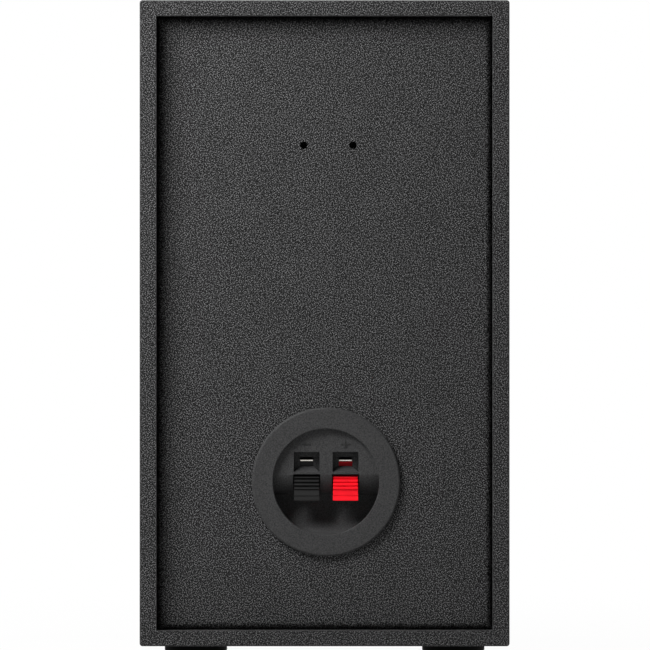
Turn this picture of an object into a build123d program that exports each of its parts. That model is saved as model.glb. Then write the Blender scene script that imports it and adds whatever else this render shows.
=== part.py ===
"""Bookshelf speaker: a vinyl-wrapped two-way cabinet with a spring-clip terminal cup at the back.

Sizes are in millimetres. +Z is up, the drivers face -Y and the terminal cup faces +Y.
The origin is on the floor under the middle of the speaker, grille included.
"""
import os
from math import cos, hypot, radians, sin, sqrt, tan

from build123d import *

# Cabinet boards and panels
cabinet_width = 150.0
cabinet_height = 262.0
cabinet_depth = 190.0
wall = 6.8
end_wall = 6.4
corner_round = 1.2
edge_round = 0.6
inner_edge_round = 0.2
groove_depth = 2.6
groove_clearance = 0.2
rear_recess = 7.0
rear_panel_thickness = 9.0
rear_panel_tongue = 5.0
rear_panel_gap = 0.3
rear_panel_round = 2.6
baffle_thickness = 12.0
corner_block_leg = 14.0

# Feet
foot_radius = 12.7
foot_height = 3.0
foot_chamfer = 0.8
foot_side_inset = 22.5
foot_end_inset = 20.0

# Wall-bracket holes in the rear panel
bracket_hole_radius = 1.5
bracket_hole_spacing = 20.0
bracket_hole_depth = 7.0
bracket_hole_height = 203.3
bracket_hole_shift = -1.5

# Terminal cup, measured inwards from the front of its flange ring
cup_height = 66.5
cup_shift = -0.6
cup_flange_radius = 30.2
cup_flange_thickness = 2.2
cup_flange_round = 1.0
cup_recess_radius = 21.6
cup_lip_round = 0.35
cup_barrel_wall = 2.9
cup_barrel_depth = 24.0
cup_cutout_clearance = 0.3
cup_barb_reach = 1.8
cup_barb_length = 5.0
cup_barb_angle = 14.0
cup_barb_count = 4
cup_moulding_wall = 1.8
cup_plate_depth = 2.5
cup_plate_edge = 3.1
cup_scoop_lip_depth = 3.5
cup_scoop_centre_out = 3.0
cup_scoop_centre_drop = 4.0
cup_brow_drop = 8.0
cup_brow_first_slope = 22.0
cup_brow_last_slope = 60.0

# Wire funnels in the cup's upper plate
terminal_pitch = 15.8
funnel_width = 10.5
funnel_height = 8.3
funnel_sill = 0.8
funnel_depth = 6.1
slot_width = 5.5
slot_height = 3.7
slot_height_above_edge = 5.1
funnel_wall = 1.2

# Spring-clip levers
lever_width = 10.3
lever_top_width = 9.9
lever_side_clearance = 0.35
lever_top_gap = 0.5
lever_length = 10.2
lever_top_depth = 4.3
lever_nose_depth = 2.4
lever_pad_thickness = 3.0
lever_rib_count = 4
lever_rib_pitch = 1.48
lever_rib_height = 0.7
lever_rib_crest = 0.5
lever_lip_height = 2.0
lever_lip_edge = 0.5
lever_lip_step = 0.35
lever_lip_proud = 0.7
lever_pivot_depth = 13.5
lever_pivot_height = 5.0
lever_hub_radius = 2.1
lever_pin_radius = 1.2
lever_pin_length = 1.6
lever_pin_clearance = 0.12
lever_finger_width = 7.5
lever_finger_thickness = 1.6
lever_finger_reach = 4.0
cheek_height = 5.0
cheek_depth = 7.0
cheek_thickness = 2.0

# Contacts and the cover behind the cup
contact_thickness = 0.35
contact_width = 5.2
contact_finger_gap = 0.25
contact_leaf_drop = 3.4
contact_leaf_reach = 4.0
tag_length = 7.0
tag_width = 3.2
tag_slot_clearance = 0.2
cover_spigot_clearance = 0.2
cover_spigot_depth = 2.5
cover_flange_thickness = 1.6

# Woofer, measured inwards from the baffle's front face
woofer_radius = 54.0
woofer_flange_width = 9.0
woofer_cutout_clearance = 1.0
basket_thickness = 1.4
basket_shelf_radius = 34.0
basket_shelf_depth = 27.0
basket_seat_radius = 28.0
basket_seat_depth = 35.0
basket_window_count = 6
basket_window_angle = 38.0
basket_window_margin = 4.0
surround_thickness = 0.8
surround_roll_radius = 3.0
surround_lip = 2.6
gasket_height = 3.0
gasket_gap = 0.2
cone_thickness = 0.9
cone_neck_depth = 19.0
dust_cap_radius = 17.0
dust_cap_rise = 6.5
dust_cap_thickness = 0.7
coil_former_radius = 13.0
coil_former_wall = 0.4
coil_winding = 0.6
coil_winding_length = 10.0
coil_gap = 0.6
spider_thickness = 0.6
spider_wave = 1.2
spider_wave_count = 4
top_plate_radius = 31.5
top_plate_thickness = 5.0
magnet_radius = 33.0
magnet_bore_margin = 2.4
magnet_thickness = 15.0
yoke_radius = 31.5
yoke_thickness = 5.0
yoke_relief = 3.5

# Tweeter, measured inwards from the baffle's front face
tweeter_radius = 30.0
tweeter_flange = 3.0
tweeter_edge_chamfer = 1.0
tweeter_spigot_depth = 2.5
tweeter_cutout_clearance = 1.0
tweeter_mouth_land = 2.0
tweeter_throat_gap = 3.1
tweeter_throat_depth = 0.6
dome_radius = 12.5
dome_rise = 5.2
dome_thickness = 0.4
dome_surround_lip = 2.2
tweeter_coil_wall = 0.3
tweeter_coil_winding = 0.4
tweeter_coil_length = 6.0
tweeter_plate_thickness = 4.0
tweeter_magnet_clearance = 0.5
tweeter_magnet_bore_margin = 2.0
tweeter_magnet_thickness = 10.0
tweeter_yoke_step = 1.0
tweeter_yoke_thickness = 4.0

# Screws and tag strips shared by both drivers
screw_count = 4
screw_edge = 2.9
screw_land = 1.9
screw_head_radius = 2.5
screw_head_height = 1.6
screw_head_chamfer = 0.8
screw_shank_radius = 1.6
screw_length = 11.0
screw_clearance = 0.2
strip_width = 18.0
strip_height = 12.0
strip_thickness = 1.6
strip_tag_pitch = 10.0

# Bass-reflex port
port_bore_radius = 12.0
port_wall = 2.0
port_length = 85.0
port_flange_radius = 17.0
port_flange_thickness = 2.5
port_flare = 2.2
port_cutout_clearance = 0.2

# Grille
grille_inset = 1.2
grille_corner = 6.0
grille_frame_thickness = 9.2
cloth_thickness = 0.8
grille_rim = 12.0
grille_opening_corner = 25.0
peg_side_inset = 15.0
peg_end_inset = 17.0
peg_radius = 3.2
peg_length = 7.5
peg_clearance = 0.3
socket_wall = 1.2
socket_end_gap = 0.8

# Crossover, lining and inner leads
board_length = 60.0
board_width = 50.0
board_thickness = 1.6
board_port_gap = 10.0
spacer_height = 5.0
spacer_radius = 3.0
spacer_inset = 5.0
capacitor_radius = 7.0
capacitor_length = 26.0
capacitor_offset = 15.0
inductor_radius = 14.0
inductor_bore = 6.0
inductor_height = 12.0
inductor_offset = 14.0
lining_thickness = 15.0
lining_gap = 6.0
lining_round = 3.0
lead_radius = 1.1
lead_bend_share = 0.45
lead_run = 26.0

# Places worked out from the sizes above
grille_thickness = grille_frame_thickness + cloth_thickness
overall_depth = cabinet_depth + grille_thickness
rear_y = overall_depth / 2
front_y = rear_y - cabinet_depth
middle_y = (rear_y + front_y) / 2
middle_z = foot_height + cabinet_height / 2
inner_width = cabinet_width - 2 * wall
inner_height = cabinet_height - 2 * end_wall
floor_z = foot_height + end_wall
panel_y = rear_y - rear_recess
panel_front_y = panel_y - rear_panel_thickness
baffle_back_y = front_y + baffle_thickness
cup_face_y = panel_y + cup_flange_thickness
cup_z = foot_height + cup_height
cup_barrel_radius = cup_recess_radius + cup_barrel_wall
cup_cutout_radius = cup_barrel_radius + cup_cutout_clearance
finger_near = lever_pivot_depth - lever_finger_reach
finger_top = lever_pivot_height + lever_finger_reach - lever_finger_thickness / 2
contact_rise = finger_top + contact_finger_gap + contact_thickness / 2
bracket_z = foot_height + bracket_hole_height
window_width = cabinet_width - 2 * (grille_inset + grille_rim)
window_height = cabinet_height - 2 * (grille_inset + grille_rim)
driver_gap = (window_height - 2 * (port_flange_radius + woofer_radius + tweeter_radius)) / 4
port_z = middle_z - window_height / 2 + driver_gap + port_flange_radius
woofer_z = port_z + port_flange_radius + driver_gap + woofer_radius
tweeter_z = woofer_z + woofer_radius + driver_gap + tweeter_radius
socket_depth = peg_length + socket_end_gap + socket_wall
basket_mouth_radius = woofer_radius - woofer_flange_width
woofer_screw_circle = woofer_radius - screw_edge
tweeter_screw_circle = tweeter_radius - screw_edge
tweeter_cutout_radius = tweeter_screw_circle - screw_shank_radius - screw_land
tweeter_spigot_radius = tweeter_cutout_radius - tweeter_cutout_clearance
tweeter_mouth_radius = tweeter_spigot_radius - tweeter_mouth_land
tweeter_throat_radius = dome_radius + tweeter_throat_gap
tweeter_magnet_radius = tweeter_spigot_radius - tweeter_magnet_clearance
tweeter_yoke_radius = tweeter_magnet_radius - tweeter_yoke_step
crossover_y = front_y + port_length + board_port_gap + board_width / 2
woofer_strip_y = front_y + basket_shelf_depth + basket_thickness
woofer_strip_z = woofer_z + basket_seat_radius + 2 * basket_thickness
tweeter_yoke_start = tweeter_spigot_depth + tweeter_plate_thickness + tweeter_magnet_thickness
tweeter_strip_y = front_y + tweeter_yoke_start + tweeter_yoke_thickness
tweeter_strip_z = tweeter_z - strip_height / 2


def block(x_range, y_range, z_range):
    """A box between the given limits."""
    size = [high - low for low, high in (x_range, y_range, z_range)]
    centre = [(high + low) / 2 for low, high in (x_range, y_range, z_range)]
    return Pos(*centre) * Box(*size)


def polygon(*points):
    """A flat face with straight sides."""
    return make_face(Polyline(*points, close=True))


def turned(face):
    """A face drawn as (radius, y), turned about the Y axis."""
    return revolve(face, Axis.Y)


def disc(radius, start, end, bore=0.0):
    """A disc or ring about the Y axis, between two y values."""
    return turned(polygon((bore, start), (radius, start), (radius, end), (bore, end)))


def rounded_plate(width, height, corner, start, end):
    """A plate upright in X and Z with round corners, between two y values."""
    outline = Plane.XZ * RectangleRounded(width, height, corner)
    return Pos(0, end, 0) * extrude(outline, end - start)


def around(count, first_angle):
    """The angles of evenly spaced copies about the Y axis."""
    return [first_angle + index * 360 / count for index in range(count)]


# Cabinet


def make_wrap():
    """The four boards as one folded ring, with its round edges and the groove for the rear panel."""
    half_width = inner_width / 2
    half_height = inner_height / 2
    ring = rounded_plate(cabinet_width, cabinet_height, corner_round, front_y, rear_y)
    ring -= block((-half_width, half_width), (front_y, rear_y), (-half_height, half_height))
    rear_face = ring.faces().sort_by(Axis.Y)[-1]
    ring = fillet(rear_face.inner_wires()[0].edges(), inner_edge_round)
    for end in (0, -1):
        end_face = ring.faces().sort_by(Axis.Y)[end]
        ring = fillet(end_face.outer_wire().edges(), edge_round)
    ring -= block(
        (-half_width - groove_depth, half_width + groove_depth),
        (panel_front_y, panel_front_y + rear_panel_tongue),
        (-half_height - groove_depth, half_height + groove_depth),
    )
    return Pos(0, 0, middle_z) * ring


def placed_board(wrap, size, turn, reach):
    """One board of the wrap, cut out of it between the square mitres that start at the inner corners."""
    inner_length, thickness = size
    inner_half = inner_length / 2
    outer_half = inner_half + thickness
    outline = polygon((-outer_half, 0), (outer_half, 0), (inner_half, thickness), (-inner_half, thickness))
    between_mitres = extrude(Plane.XZ * outline, cabinet_depth / 2, both=True)
    return wrap & (Pos(0, middle_y, middle_z) * Rot(0, turn, 0) * Pos(0, 0, -reach) * between_mitres)


def make_cabinet():
    """The four folded boards, the two panels, the glue blocks and the feet."""
    wrap = make_wrap()
    end_size = (inner_width, end_wall)
    side_size = (inner_height, wall)
    nodes = {
        "bottom_board": placed_board(wrap, end_size, 0, cabinet_height / 2),
        "top_board": placed_board(wrap, end_size, 180, cabinet_height / 2),
        "left_side": placed_board(wrap, side_size, 90, cabinet_width / 2),
        "right_side": placed_board(wrap, side_size, -90, cabinet_width / 2),
        "rear_panel": make_rear_panel(),
        "front_baffle": make_front_baffle(),
        "corner_blocks": make_corner_blocks(),
    }
    nodes["feet"] = make_feet()
    return nodes


def make_rear_panel():
    """The panel: a tongue in the grooves, a field with round edges, the cut-out and two blind holes."""
    edge = groove_depth - groove_clearance
    tongue_half_width = inner_width / 2 + edge
    tongue_half_height = inner_height / 2 + edge
    field_half_width = inner_width / 2 - rear_panel_gap
    field_half_height = inner_height / 2 - rear_panel_gap
    tongue_y = panel_front_y + rear_panel_tongue
    field = block(
        (-field_half_width, field_half_width),
        (tongue_y, panel_y),
        (middle_z - field_half_height, middle_z + field_half_height),
    )
    field = fillet(field.edges().group_by(Axis.Y)[-1], rear_panel_round)
    panel = field + block(
        (-tongue_half_width, tongue_half_width),
        (panel_front_y, tongue_y),
        (middle_z - tongue_half_height, middle_z + tongue_half_height),
    )
    panel -= Pos(cup_shift, 0, cup_z) * disc(cup_cutout_radius, panel_front_y, panel_y)
    for side in (-1, 1):
        hole_x = bracket_hole_shift + side * bracket_hole_spacing / 2
        hole = disc(bracket_hole_radius, panel_y - bracket_hole_depth, panel_y)
        panel -= Pos(hole_x, 0, bracket_z) * hole
    return panel


def make_front_baffle():
    """The board that carries the drivers, flush with the front edges."""
    baffle = block(
        (-inner_width / 2, inner_width / 2),
        (front_y, baffle_back_y),
        (middle_z - inner_height / 2, middle_z + inner_height / 2),
    )
    woofer_cutout = basket_mouth_radius + basket_thickness + woofer_cutout_clearance
    port_cutout = port_bore_radius + port_wall + port_cutout_clearance
    cutouts = ((woofer_z, woofer_cutout), (tweeter_z, tweeter_cutout_radius), (port_z, port_cutout))
    for height, radius in cutouts:
        baffle -= Pos(0, 0, height) * disc(radius, front_y, baffle_back_y)
    socket_radius = peg_radius + peg_clearance + socket_wall
    for x, z in peg_places():
        baffle -= Pos(x, 0, z) * disc(socket_radius, front_y, front_y + socket_depth)
    for screws in (woofer_screw_places(), tweeter_screw_places()):
        for x, z in screws:
            baffle -= Pos(x, 0, z) * disc(screw_shank_radius, front_y, front_y + screw_length)
    return baffle


def make_corner_blocks():
    """A three-cornered glue block along each folded corner, from panel to panel."""
    half_width = inner_width / 2
    half_height = inner_height / 2
    corner = polygon(
        (half_width, half_height),
        (half_width - corner_block_leg, half_height),
        (half_width, half_height - corner_block_leg),
    )
    strip = extrude(Plane.XZ * corner, panel_front_y - baffle_back_y)
    strip = Pos(0, panel_front_y, middle_z) * strip
    pair = [strip, mirror(strip, Plane.YZ)]
    lower = [mirror(piece, Plane.XY.offset(middle_z)) for piece in pair]
    return Compound(children=[*pair, *lower])


def make_feet():
    """Four round pads under the bottom board."""
    pad = Cylinder(foot_radius, foot_height, align=(Align.CENTER, Align.CENTER, Align.MIN))
    pad = chamfer(pad.edges().group_by(Axis.Z)[0], foot_chamfer)
    x = cabinet_width / 2 - foot_side_inset
    y_places = (front_y + foot_end_inset, rear_y - foot_end_inset)
    return Compound(children=[Pos(side * x, y, 0) * pad for side in (-1, 1) for y in y_places])


# Terminal cup: profiles are drawn as (depth, height) about the middle of the flange ring


def cup_section(face, width):
    """A face drawn as (depth, height), made width wide in X about the cup's middle."""
    plane = Plane(origin=(cup_shift, cup_face_y, cup_z), x_dir=(0, -1, 0), z_dir=(-1, 0, 0))
    return extrude(plane * face, width / 2, both=True)


def cup_block(width, depth_range, height_range):
    """A box in the cup's depth and height, width wide in X about the cup's middle."""
    near, far = depth_range
    low, high = height_range
    return cup_section(polygon((near, low), (far, low), (far, high), (near, high)), width)


def cup_turned(points):
    """A face drawn as (radius, depth) points, turned about the cup's axis."""
    face = polygon(*[(radius, -depth) for radius, depth in points])
    return Pos(cup_shift, cup_face_y, cup_z) * turned(face)


def scoop_radius():
    """The radius of the finger scoop, which ends on the lip at the bottom of the recess."""
    return hypot(cup_scoop_lip_depth + cup_scoop_centre_out, cup_recess_radius - cup_scoop_centre_drop)


def scoop_depth(height):
    """How deep the finger scoop is at a height above the cup's middle."""
    rise = height + cup_scoop_centre_drop
    return sqrt(scoop_radius() ** 2 - rise**2) - cup_scoop_centre_out


def lever_places():
    """The X of the negative and the positive terminal, from the cup's middle."""
    return {"negative": terminal_pitch / 2, "positive": -terminal_pitch / 2}


def make_cup_shell():
    """The flange ring and the barrel, turned in one profile, with snap barbs behind the panel."""
    flange = cup_flange_thickness
    points = (
        (cup_recess_radius, 0),
        (cup_flange_radius, 0),
        (cup_flange_radius, flange),
        (cup_barrel_radius, flange),
        (cup_barrel_radius, cup_barrel_depth),
        (cup_recess_radius, cup_barrel_depth),
    )
    face = polygon(*[(radius, -depth) for radius, depth in points])
    outer_edge = face.vertices().group_by(Axis.X)[-1].sort_by(Axis.Y)[-1]
    face = fillet(outer_edge, cup_flange_round)
    inner_edge = face.vertices().group_by(Axis.X)[0].sort_by(Axis.Y)[-1]
    shell = turned(fillet(inner_edge, cup_lip_round))
    barb_start = flange + rear_panel_thickness
    root = cup_barrel_radius - cup_barrel_wall / 2
    barb = polygon(
        (root, -barb_start),
        (cup_barrel_radius + cup_barb_reach, -barb_start),
        (cup_barrel_radius, -barb_start - cup_barb_length),
        (root, -barb_start - cup_barb_length),
    )
    for angle in around(cup_barb_count, 45 - cup_barb_angle / 2):
        shell += Rot(0, angle, 0) * revolve(barb, Axis.Y, cup_barb_angle)
    return Pos(cup_shift, cup_face_y, cup_z) * shell


def scoop_space():
    """The round of the finger scoop, in the cup's side profile."""
    return Pos(-cup_scoop_centre_out, -cup_scoop_centre_drop) * Circle(scoop_radius())


def make_brow():
    """The rounded brow under the plate's edge, which fills the top of the scoop, in the side profile."""
    first = radians(cup_brow_first_slope)
    last = radians(cup_brow_last_slope)
    radius = cup_brow_drop / (sin(last) - sin(first))
    bottom = cup_plate_edge - cup_brow_drop
    points = []
    for slope in (first, (first + last) / 2, last):
        depth = cup_plate_depth + radius * (cos(first) - cos(slope))
        points.append((depth, cup_plate_edge - radius * (sin(slope) - sin(first))))
    back = cup_barrel_depth
    rest = Polyline(points[-1], (back, bottom), (back, cup_plate_edge), points[0])
    return make_face(ThreePointArc(*points) + rest) & scoop_space()


def make_cup_moulding():
    """The upper plate, the ledge and the brow under it and the finger scoop, in one side profile."""
    thickness = cup_moulding_wall
    reach = cup_recess_radius + cup_barrel_wall / 2
    scoop = Circle(scoop_radius() + thickness)
    scoop = Pos(-cup_scoop_centre_out, -cup_scoop_centre_drop) * scoop - scoop_space()
    ledge_end = scoop_depth(cup_plate_edge) + thickness
    below_ledge = polygon(
        (cup_scoop_lip_depth, -reach),
        (cup_barrel_depth, -reach),
        (cup_barrel_depth, cup_plate_edge + thickness),
        (cup_scoop_lip_depth, cup_plate_edge + thickness),
    )
    ledge = polygon(
        (cup_plate_depth, cup_plate_edge),
        (ledge_end, cup_plate_edge),
        (ledge_end, cup_plate_edge + thickness),
        (cup_plate_depth + thickness, cup_plate_edge + thickness),
        (cup_plate_depth + thickness, reach),
        (cup_plate_depth, reach),
    )
    profile = (scoop & below_ledge) + ledge + make_brow()
    inside = cup_turned(((0, 0), (reach, 0), (reach, cup_barrel_depth), (0, cup_barrel_depth)))
    return cup_section(profile, 2 * reach) & inside


def make_funnel():
    """The solid pocket behind the plate and the space inside it, at the cup's middle."""
    plate_back = cup_plate_depth + cup_moulding_wall
    funnel_end = cup_plate_depth + funnel_depth
    pocket_end = funnel_end - funnel_wall
    mouth_low = cup_plate_edge + funnel_sill
    mouth_high = mouth_low + funnel_height
    slot_middle = cup_plate_edge + slot_height_above_edge
    slot_low = slot_middle - slot_height / 2
    body = cup_block(
        funnel_width + 2 * funnel_wall,
        (plate_back, funnel_end),
        (cup_plate_edge + cup_moulding_wall, mouth_high + funnel_wall),
    )
    ramp = polygon((cup_plate_depth, mouth_low), (pocket_end, slot_low), (pocket_end, mouth_low))
    front = polygon(
        (-funnel_width / 2, mouth_low),
        (funnel_width / 2, mouth_low),
        (slot_width / 2, slot_low),
        (-slot_width / 2, slot_low),
    )
    chute = cup_section(ramp, funnel_width) & cup_front(front)
    pocket = cup_block(funnel_width, (cup_plate_depth, pocket_end), (mouth_low, mouth_high))
    slot = cup_block(slot_width, (cup_plate_depth, funnel_end), (slot_low, slot_low + slot_height))
    return body, (pocket - chute) + slot


def make_terminal_cup():
    """The whole cup: shell, moulding, funnels, lever windows and the cheeks that hold the pins."""
    cup = make_cup_shell() + make_cup_moulding()
    funnel_body, funnel_space = make_funnel()
    cheek_near = lever_pivot_depth - cheek_depth / 2
    slot_width_in_cup = lever_width + 2 * lever_side_clearance
    cup += cup_block(
        terminal_pitch + slot_width_in_cup + 2 * cheek_thickness,
        (cheek_near, cheek_near + cheek_depth),
        (cup_plate_edge, cup_plate_edge + cheek_height),
    )
    lever_slot = cup_block(
        slot_width_in_cup,
        (cup_plate_depth + funnel_depth, cup_barrel_depth),
        (cup_plate_edge - cup_scoop_centre_drop, cup_plate_edge + cheek_height),
    )
    pin_hole = cup_section(
        Pos(lever_pivot_depth, lever_pivot_height) * Circle(lever_pin_radius + lever_pin_clearance),
        lever_width + 2 * lever_pin_length + 2 * lever_side_clearance,
    )
    brow_heights = (cup_plate_edge - cup_brow_drop, cup_plate_edge)
    lever_window = cup_section(scoop_space(), slot_width_in_cup)
    lever_window &= cup_block(slot_width_in_cup, (0, cup_barrel_depth), brow_heights)
    for x in lever_places().values():
        cup += Pos(x, 0, 0) * funnel_body
    for x in lever_places().values():
        cup -= Pos(x, 0, 0) * funnel_space
        cup -= Pos(x, 0, 0) * lever_window
        cup -= Pos(x, 0, 0) * lever_slot
        cup -= Pos(x, 0, 0) * pin_hole
    return cup


def lever_face_depth(height):
    """How deep the lever's sloping front is at a height above the cup's middle."""
    top = cup_plate_edge - lever_top_gap
    slope = (lever_nose_depth - lever_top_depth) / lever_length
    return lever_top_depth + slope * (top - height)


def lever_pad_points():
    """The front of the lever's pad, from its top edge down: ribs, a plain stretch and a lip."""
    top = cup_plate_edge - lever_top_gap
    bottom = top - lever_length
    flank = (lever_rib_pitch - lever_rib_crest) / 2
    points = [(lever_face_depth(top), top)]
    for index in range(lever_rib_count):
        start = top - index * lever_rib_pitch
        end = start - lever_rib_pitch
        for crest in (start - flank, end + flank):
            points.append((lever_face_depth(crest) - lever_rib_height, crest))
        points.append((lever_face_depth(end), end))
    lip_top = bottom + lever_lip_height
    lip_depth = lever_nose_depth - lever_lip_proud
    points.append((lever_face_depth(lip_top), lip_top))
    points.append((lever_face_depth(lip_top) + lever_lip_step, lip_top))
    points.append((lip_depth, bottom + lever_lip_edge))
    points.append((lip_depth, bottom))
    return points


def make_lever():
    """A spring-clip lever at the cup's middle: ribbed pad, web, hub with pins, and the finger."""
    top = cup_plate_edge - lever_top_gap
    bottom = top - lever_length
    pivot = (lever_pivot_depth, lever_pivot_height)
    funnel_end = cup_plate_depth + funnel_depth
    pad = polygon(
        *lever_pad_points(),
        (lever_nose_depth + lever_pad_thickness, bottom),
        (lever_top_depth + lever_pad_thickness, top - lever_pad_thickness),
        (lever_pivot_depth, lever_pivot_height - lever_hub_radius),
        (lever_pivot_depth - lever_hub_radius, lever_pivot_height),
        (funnel_end, top),
    )
    hub = Pos(*pivot) * Circle(lever_hub_radius)
    lever = cup_section(pad + hub, lever_width) & lever_sides(bottom, top)
    finger = polygon(
        (lever_pivot_depth, lever_pivot_height),
        (finger_near, lever_pivot_height),
        (finger_near, finger_top),
        (finger_near + lever_finger_thickness, finger_top),
    )
    lever += cup_section(finger, lever_finger_width)
    pins = cup_section(Pos(*pivot) * Circle(lever_pin_radius), lever_width + 2 * lever_pin_length)
    return lever + pins


def cup_front(face):
    """A face drawn as (x, height) on the cup's front, made as deep as the barrel."""
    return Pos(cup_shift, cup_face_y, cup_z) * extrude(Plane.XZ * face, cup_barrel_depth)


def lever_sides(bottom, top):
    """The space between the lever's sides, which draw in from its lip up to the hub."""
    crown = lever_pivot_height + lever_hub_radius
    outline = polygon(
        (-lever_width / 2, bottom),
        (lever_width / 2, bottom),
        (lever_top_width / 2, top),
        (lever_top_width / 2, crown),
        (-lever_top_width / 2, crown),
        (-lever_top_width / 2, top),
    )
    return cup_front(outline)


def make_contact():
    """A bent strip: contact tongue over the finger, return leaf behind the web, and solder tag."""
    back = cup_barrel_depth - cover_spigot_depth - contact_thickness / 2
    leaf_bottom = cup_plate_edge - contact_leaf_drop
    leaf_end = back - contact_leaf_reach
    tag_end = cup_barrel_depth + cover_flange_thickness + tag_length
    bend = (back, contact_rise)
    strip = Polyline((finger_near, contact_rise), bend, (back, leaf_bottom), (leaf_end, leaf_bottom))
    tag = Polyline(bend, (tag_end, contact_rise))
    contact = cup_section(trace(strip, contact_thickness), contact_width)
    return contact + cup_section(trace(tag, contact_thickness), tag_width)


def make_terminal_back():
    """The cover that plugs the cup's barrel, with a slot for each solder tag."""
    spigot_start = cup_barrel_depth - cover_spigot_depth
    spigot_radius = cup_recess_radius - cover_spigot_clearance
    cover_end = cup_barrel_depth + cover_flange_thickness
    cover = cup_turned((
        (0, spigot_start),
        (spigot_radius, spigot_start),
        (spigot_radius, cup_barrel_depth),
        (cup_barrel_radius, cup_barrel_depth),
        (cup_barrel_radius, cover_end),
        (0, cover_end),
    ))
    reach = contact_thickness / 2 + tag_slot_clearance
    slot = cup_block(
        tag_width + 2 * tag_slot_clearance,
        (spigot_start, cover_end),
        (contact_rise - reach, contact_rise + reach),
    )
    for x in lever_places().values():
        cover -= Pos(x, 0, 0) * slot
    return cover


def make_terminals():
    """The cup with its two levers, its contacts and its cover."""
    nodes = {"terminal_cup": make_terminal_cup(), "terminal_back": make_terminal_back()}
    for name, x in lever_places().items():
        nodes[name + "_lever"] = Pos(x, 0, 0) * make_lever()
        nodes[name + "_contact"] = Pos(x, 0, 0) * make_contact()
    return nodes


# Drivers: turned profiles are (radius, depth behind the baffle's front face)


def screw_places(circle, height):
    """The X and Z of the screws on a circle about a driver's axis."""
    angles = around(screw_count, 45)
    return [(circle * cos(radians(a)), height + circle * sin(radians(a))) for a in angles]


def woofer_screw_places():
    return screw_places(woofer_screw_circle, woofer_z)


def tweeter_screw_places():
    return screw_places(tweeter_screw_circle, tweeter_z)


def make_screws(places, seat):
    """Pan-head screws whose heads seat at a depth in front of the baffle."""
    head = disc(screw_head_radius, -seat - screw_head_height, -seat)
    head = chamfer(head.edges().group_by(Axis.Y)[0], screw_head_chamfer)
    screw = head + disc(screw_shank_radius, -seat, screw_length)
    return Compound(children=[Pos(x, front_y, z) * screw for x, z in places])


def make_basket():
    """The pressed basket: flange, windowed wall, spider shelf and magnet seat."""
    half = basket_thickness / 2
    line = Polyline(
        (woofer_radius, -half),
        (basket_mouth_radius, -half),
        (basket_shelf_radius, basket_shelf_depth + half),
        (basket_seat_radius + basket_thickness, basket_shelf_depth + half),
        (basket_seat_radius, basket_seat_depth + half),
        (coil_bore(), basket_seat_depth + half),
    )
    basket = turned(trace(line, basket_thickness))
    window = polygon(
        (basket_shelf_radius - basket_window_margin / 2, basket_window_margin),
        (woofer_radius, basket_window_margin),
        (woofer_radius, basket_shelf_depth - basket_window_margin),
        (basket_shelf_radius - basket_window_margin / 2, basket_shelf_depth - basket_window_margin),
    )
    for angle in around(basket_window_count, -basket_window_angle / 2):
        basket -= Rot(0, angle, 0) * revolve(window, Axis.Y, basket_window_angle)
    for x, z in screw_places(woofer_screw_circle, 0):
        basket -= Pos(x, 0, z) * disc(screw_shank_radius + screw_clearance, -basket_thickness, 0)
    return basket


def coil_bore():
    """The radius of the hole that the woofer's coil moves in."""
    return coil_former_radius + coil_winding + coil_gap


def surround_outer():
    """The radius where the woofer's roll surround meets its flat outer lip."""
    return basket_mouth_radius - basket_thickness / 2


def surround_inner():
    """The radius where the woofer's roll surround meets the cone's rim."""
    return surround_outer() - 2 * surround_roll_radius


def roll_profile(inner, outer, lip_in, lip_out, thickness, seat):
    """A half roll between two flat lips, whose backs lie at the seat's depth."""
    front = seat - thickness
    middle = (inner + outer) / 2
    outside = (outer - inner) / 2 + thickness / 2
    inside = outside - thickness
    edges = [
        Line((inner - lip_in, seat), (middle - inside, seat)),
        ThreePointArc((middle - inside, seat), (middle, seat - inside), (middle + inside, seat)),
        Line((middle + inside, seat), (outer + lip_out, seat)),
        Line((outer + lip_out, seat), (outer + lip_out, front)),
        Line((outer + lip_out, front), (middle + outside, front)),
        ThreePointArc((middle + outside, front), (middle, front - outside), (middle - outside, front)),
        Line((middle - outside, front), (inner - lip_in, front)),
        Line((inner - lip_in, front), (inner - lip_in, seat)),
    ]
    return make_face(edges)


def make_surround():
    """The woofer's half-roll rubber surround, on the cone's rim and the basket's flange."""
    lip_out = surround_lip
    return turned(roll_profile(
        surround_inner(), surround_outer(), surround_lip, lip_out, surround_thickness, -basket_thickness,
    ))


def make_gasket():
    """The ring that clamps the surround's outer lip, stepped down to the flange."""
    inner = surround_outer() + surround_thickness
    lip_edge = surround_outer() + surround_lip
    outer = woofer_screw_circle - screw_head_radius - gasket_gap
    seat = -basket_thickness
    return turned(polygon(
        (inner, seat - surround_thickness),
        (lip_edge, seat - surround_thickness),
        (lip_edge, seat),
        (outer, seat),
        (outer, seat - gasket_height),
        (inner, seat - gasket_height),
    ))


def cone_rim():
    """The depth of the cone's flat rim, under the surround's inner lip."""
    return -basket_thickness


def cone_front(radius):
    """The depth of the cone's front face at a radius."""
    top = surround_inner() - surround_lip
    share = (top - radius) / (top - coil_former_radius)
    return cone_rim() + share * (cone_neck_depth - cone_rim())


def make_cone():
    """The straight-sided cone with a flat rim, glued to the coil former at its neck."""
    top = surround_inner() - surround_lip
    return turned(polygon(
        (surround_inner(), cone_rim()),
        (top, cone_rim()),
        (coil_former_radius, cone_neck_depth),
        (coil_former_radius, cone_neck_depth + cone_thickness),
        (top, cone_rim() + cone_thickness),
        (surround_inner(), cone_rim() + cone_thickness),
    ))


def dome_profile(radius, base, rise, thickness):
    """Half of a thin dome that bulges to the front, from its axis to its edge."""
    sphere = (radius**2 + rise**2) / (2 * rise)
    skin = Pos(0, base - rise + sphere) * (Circle(sphere) - Circle(sphere - thickness))
    return skin & polygon((0, base), (radius, base), (radius, base - rise), (0, base - rise))


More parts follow.
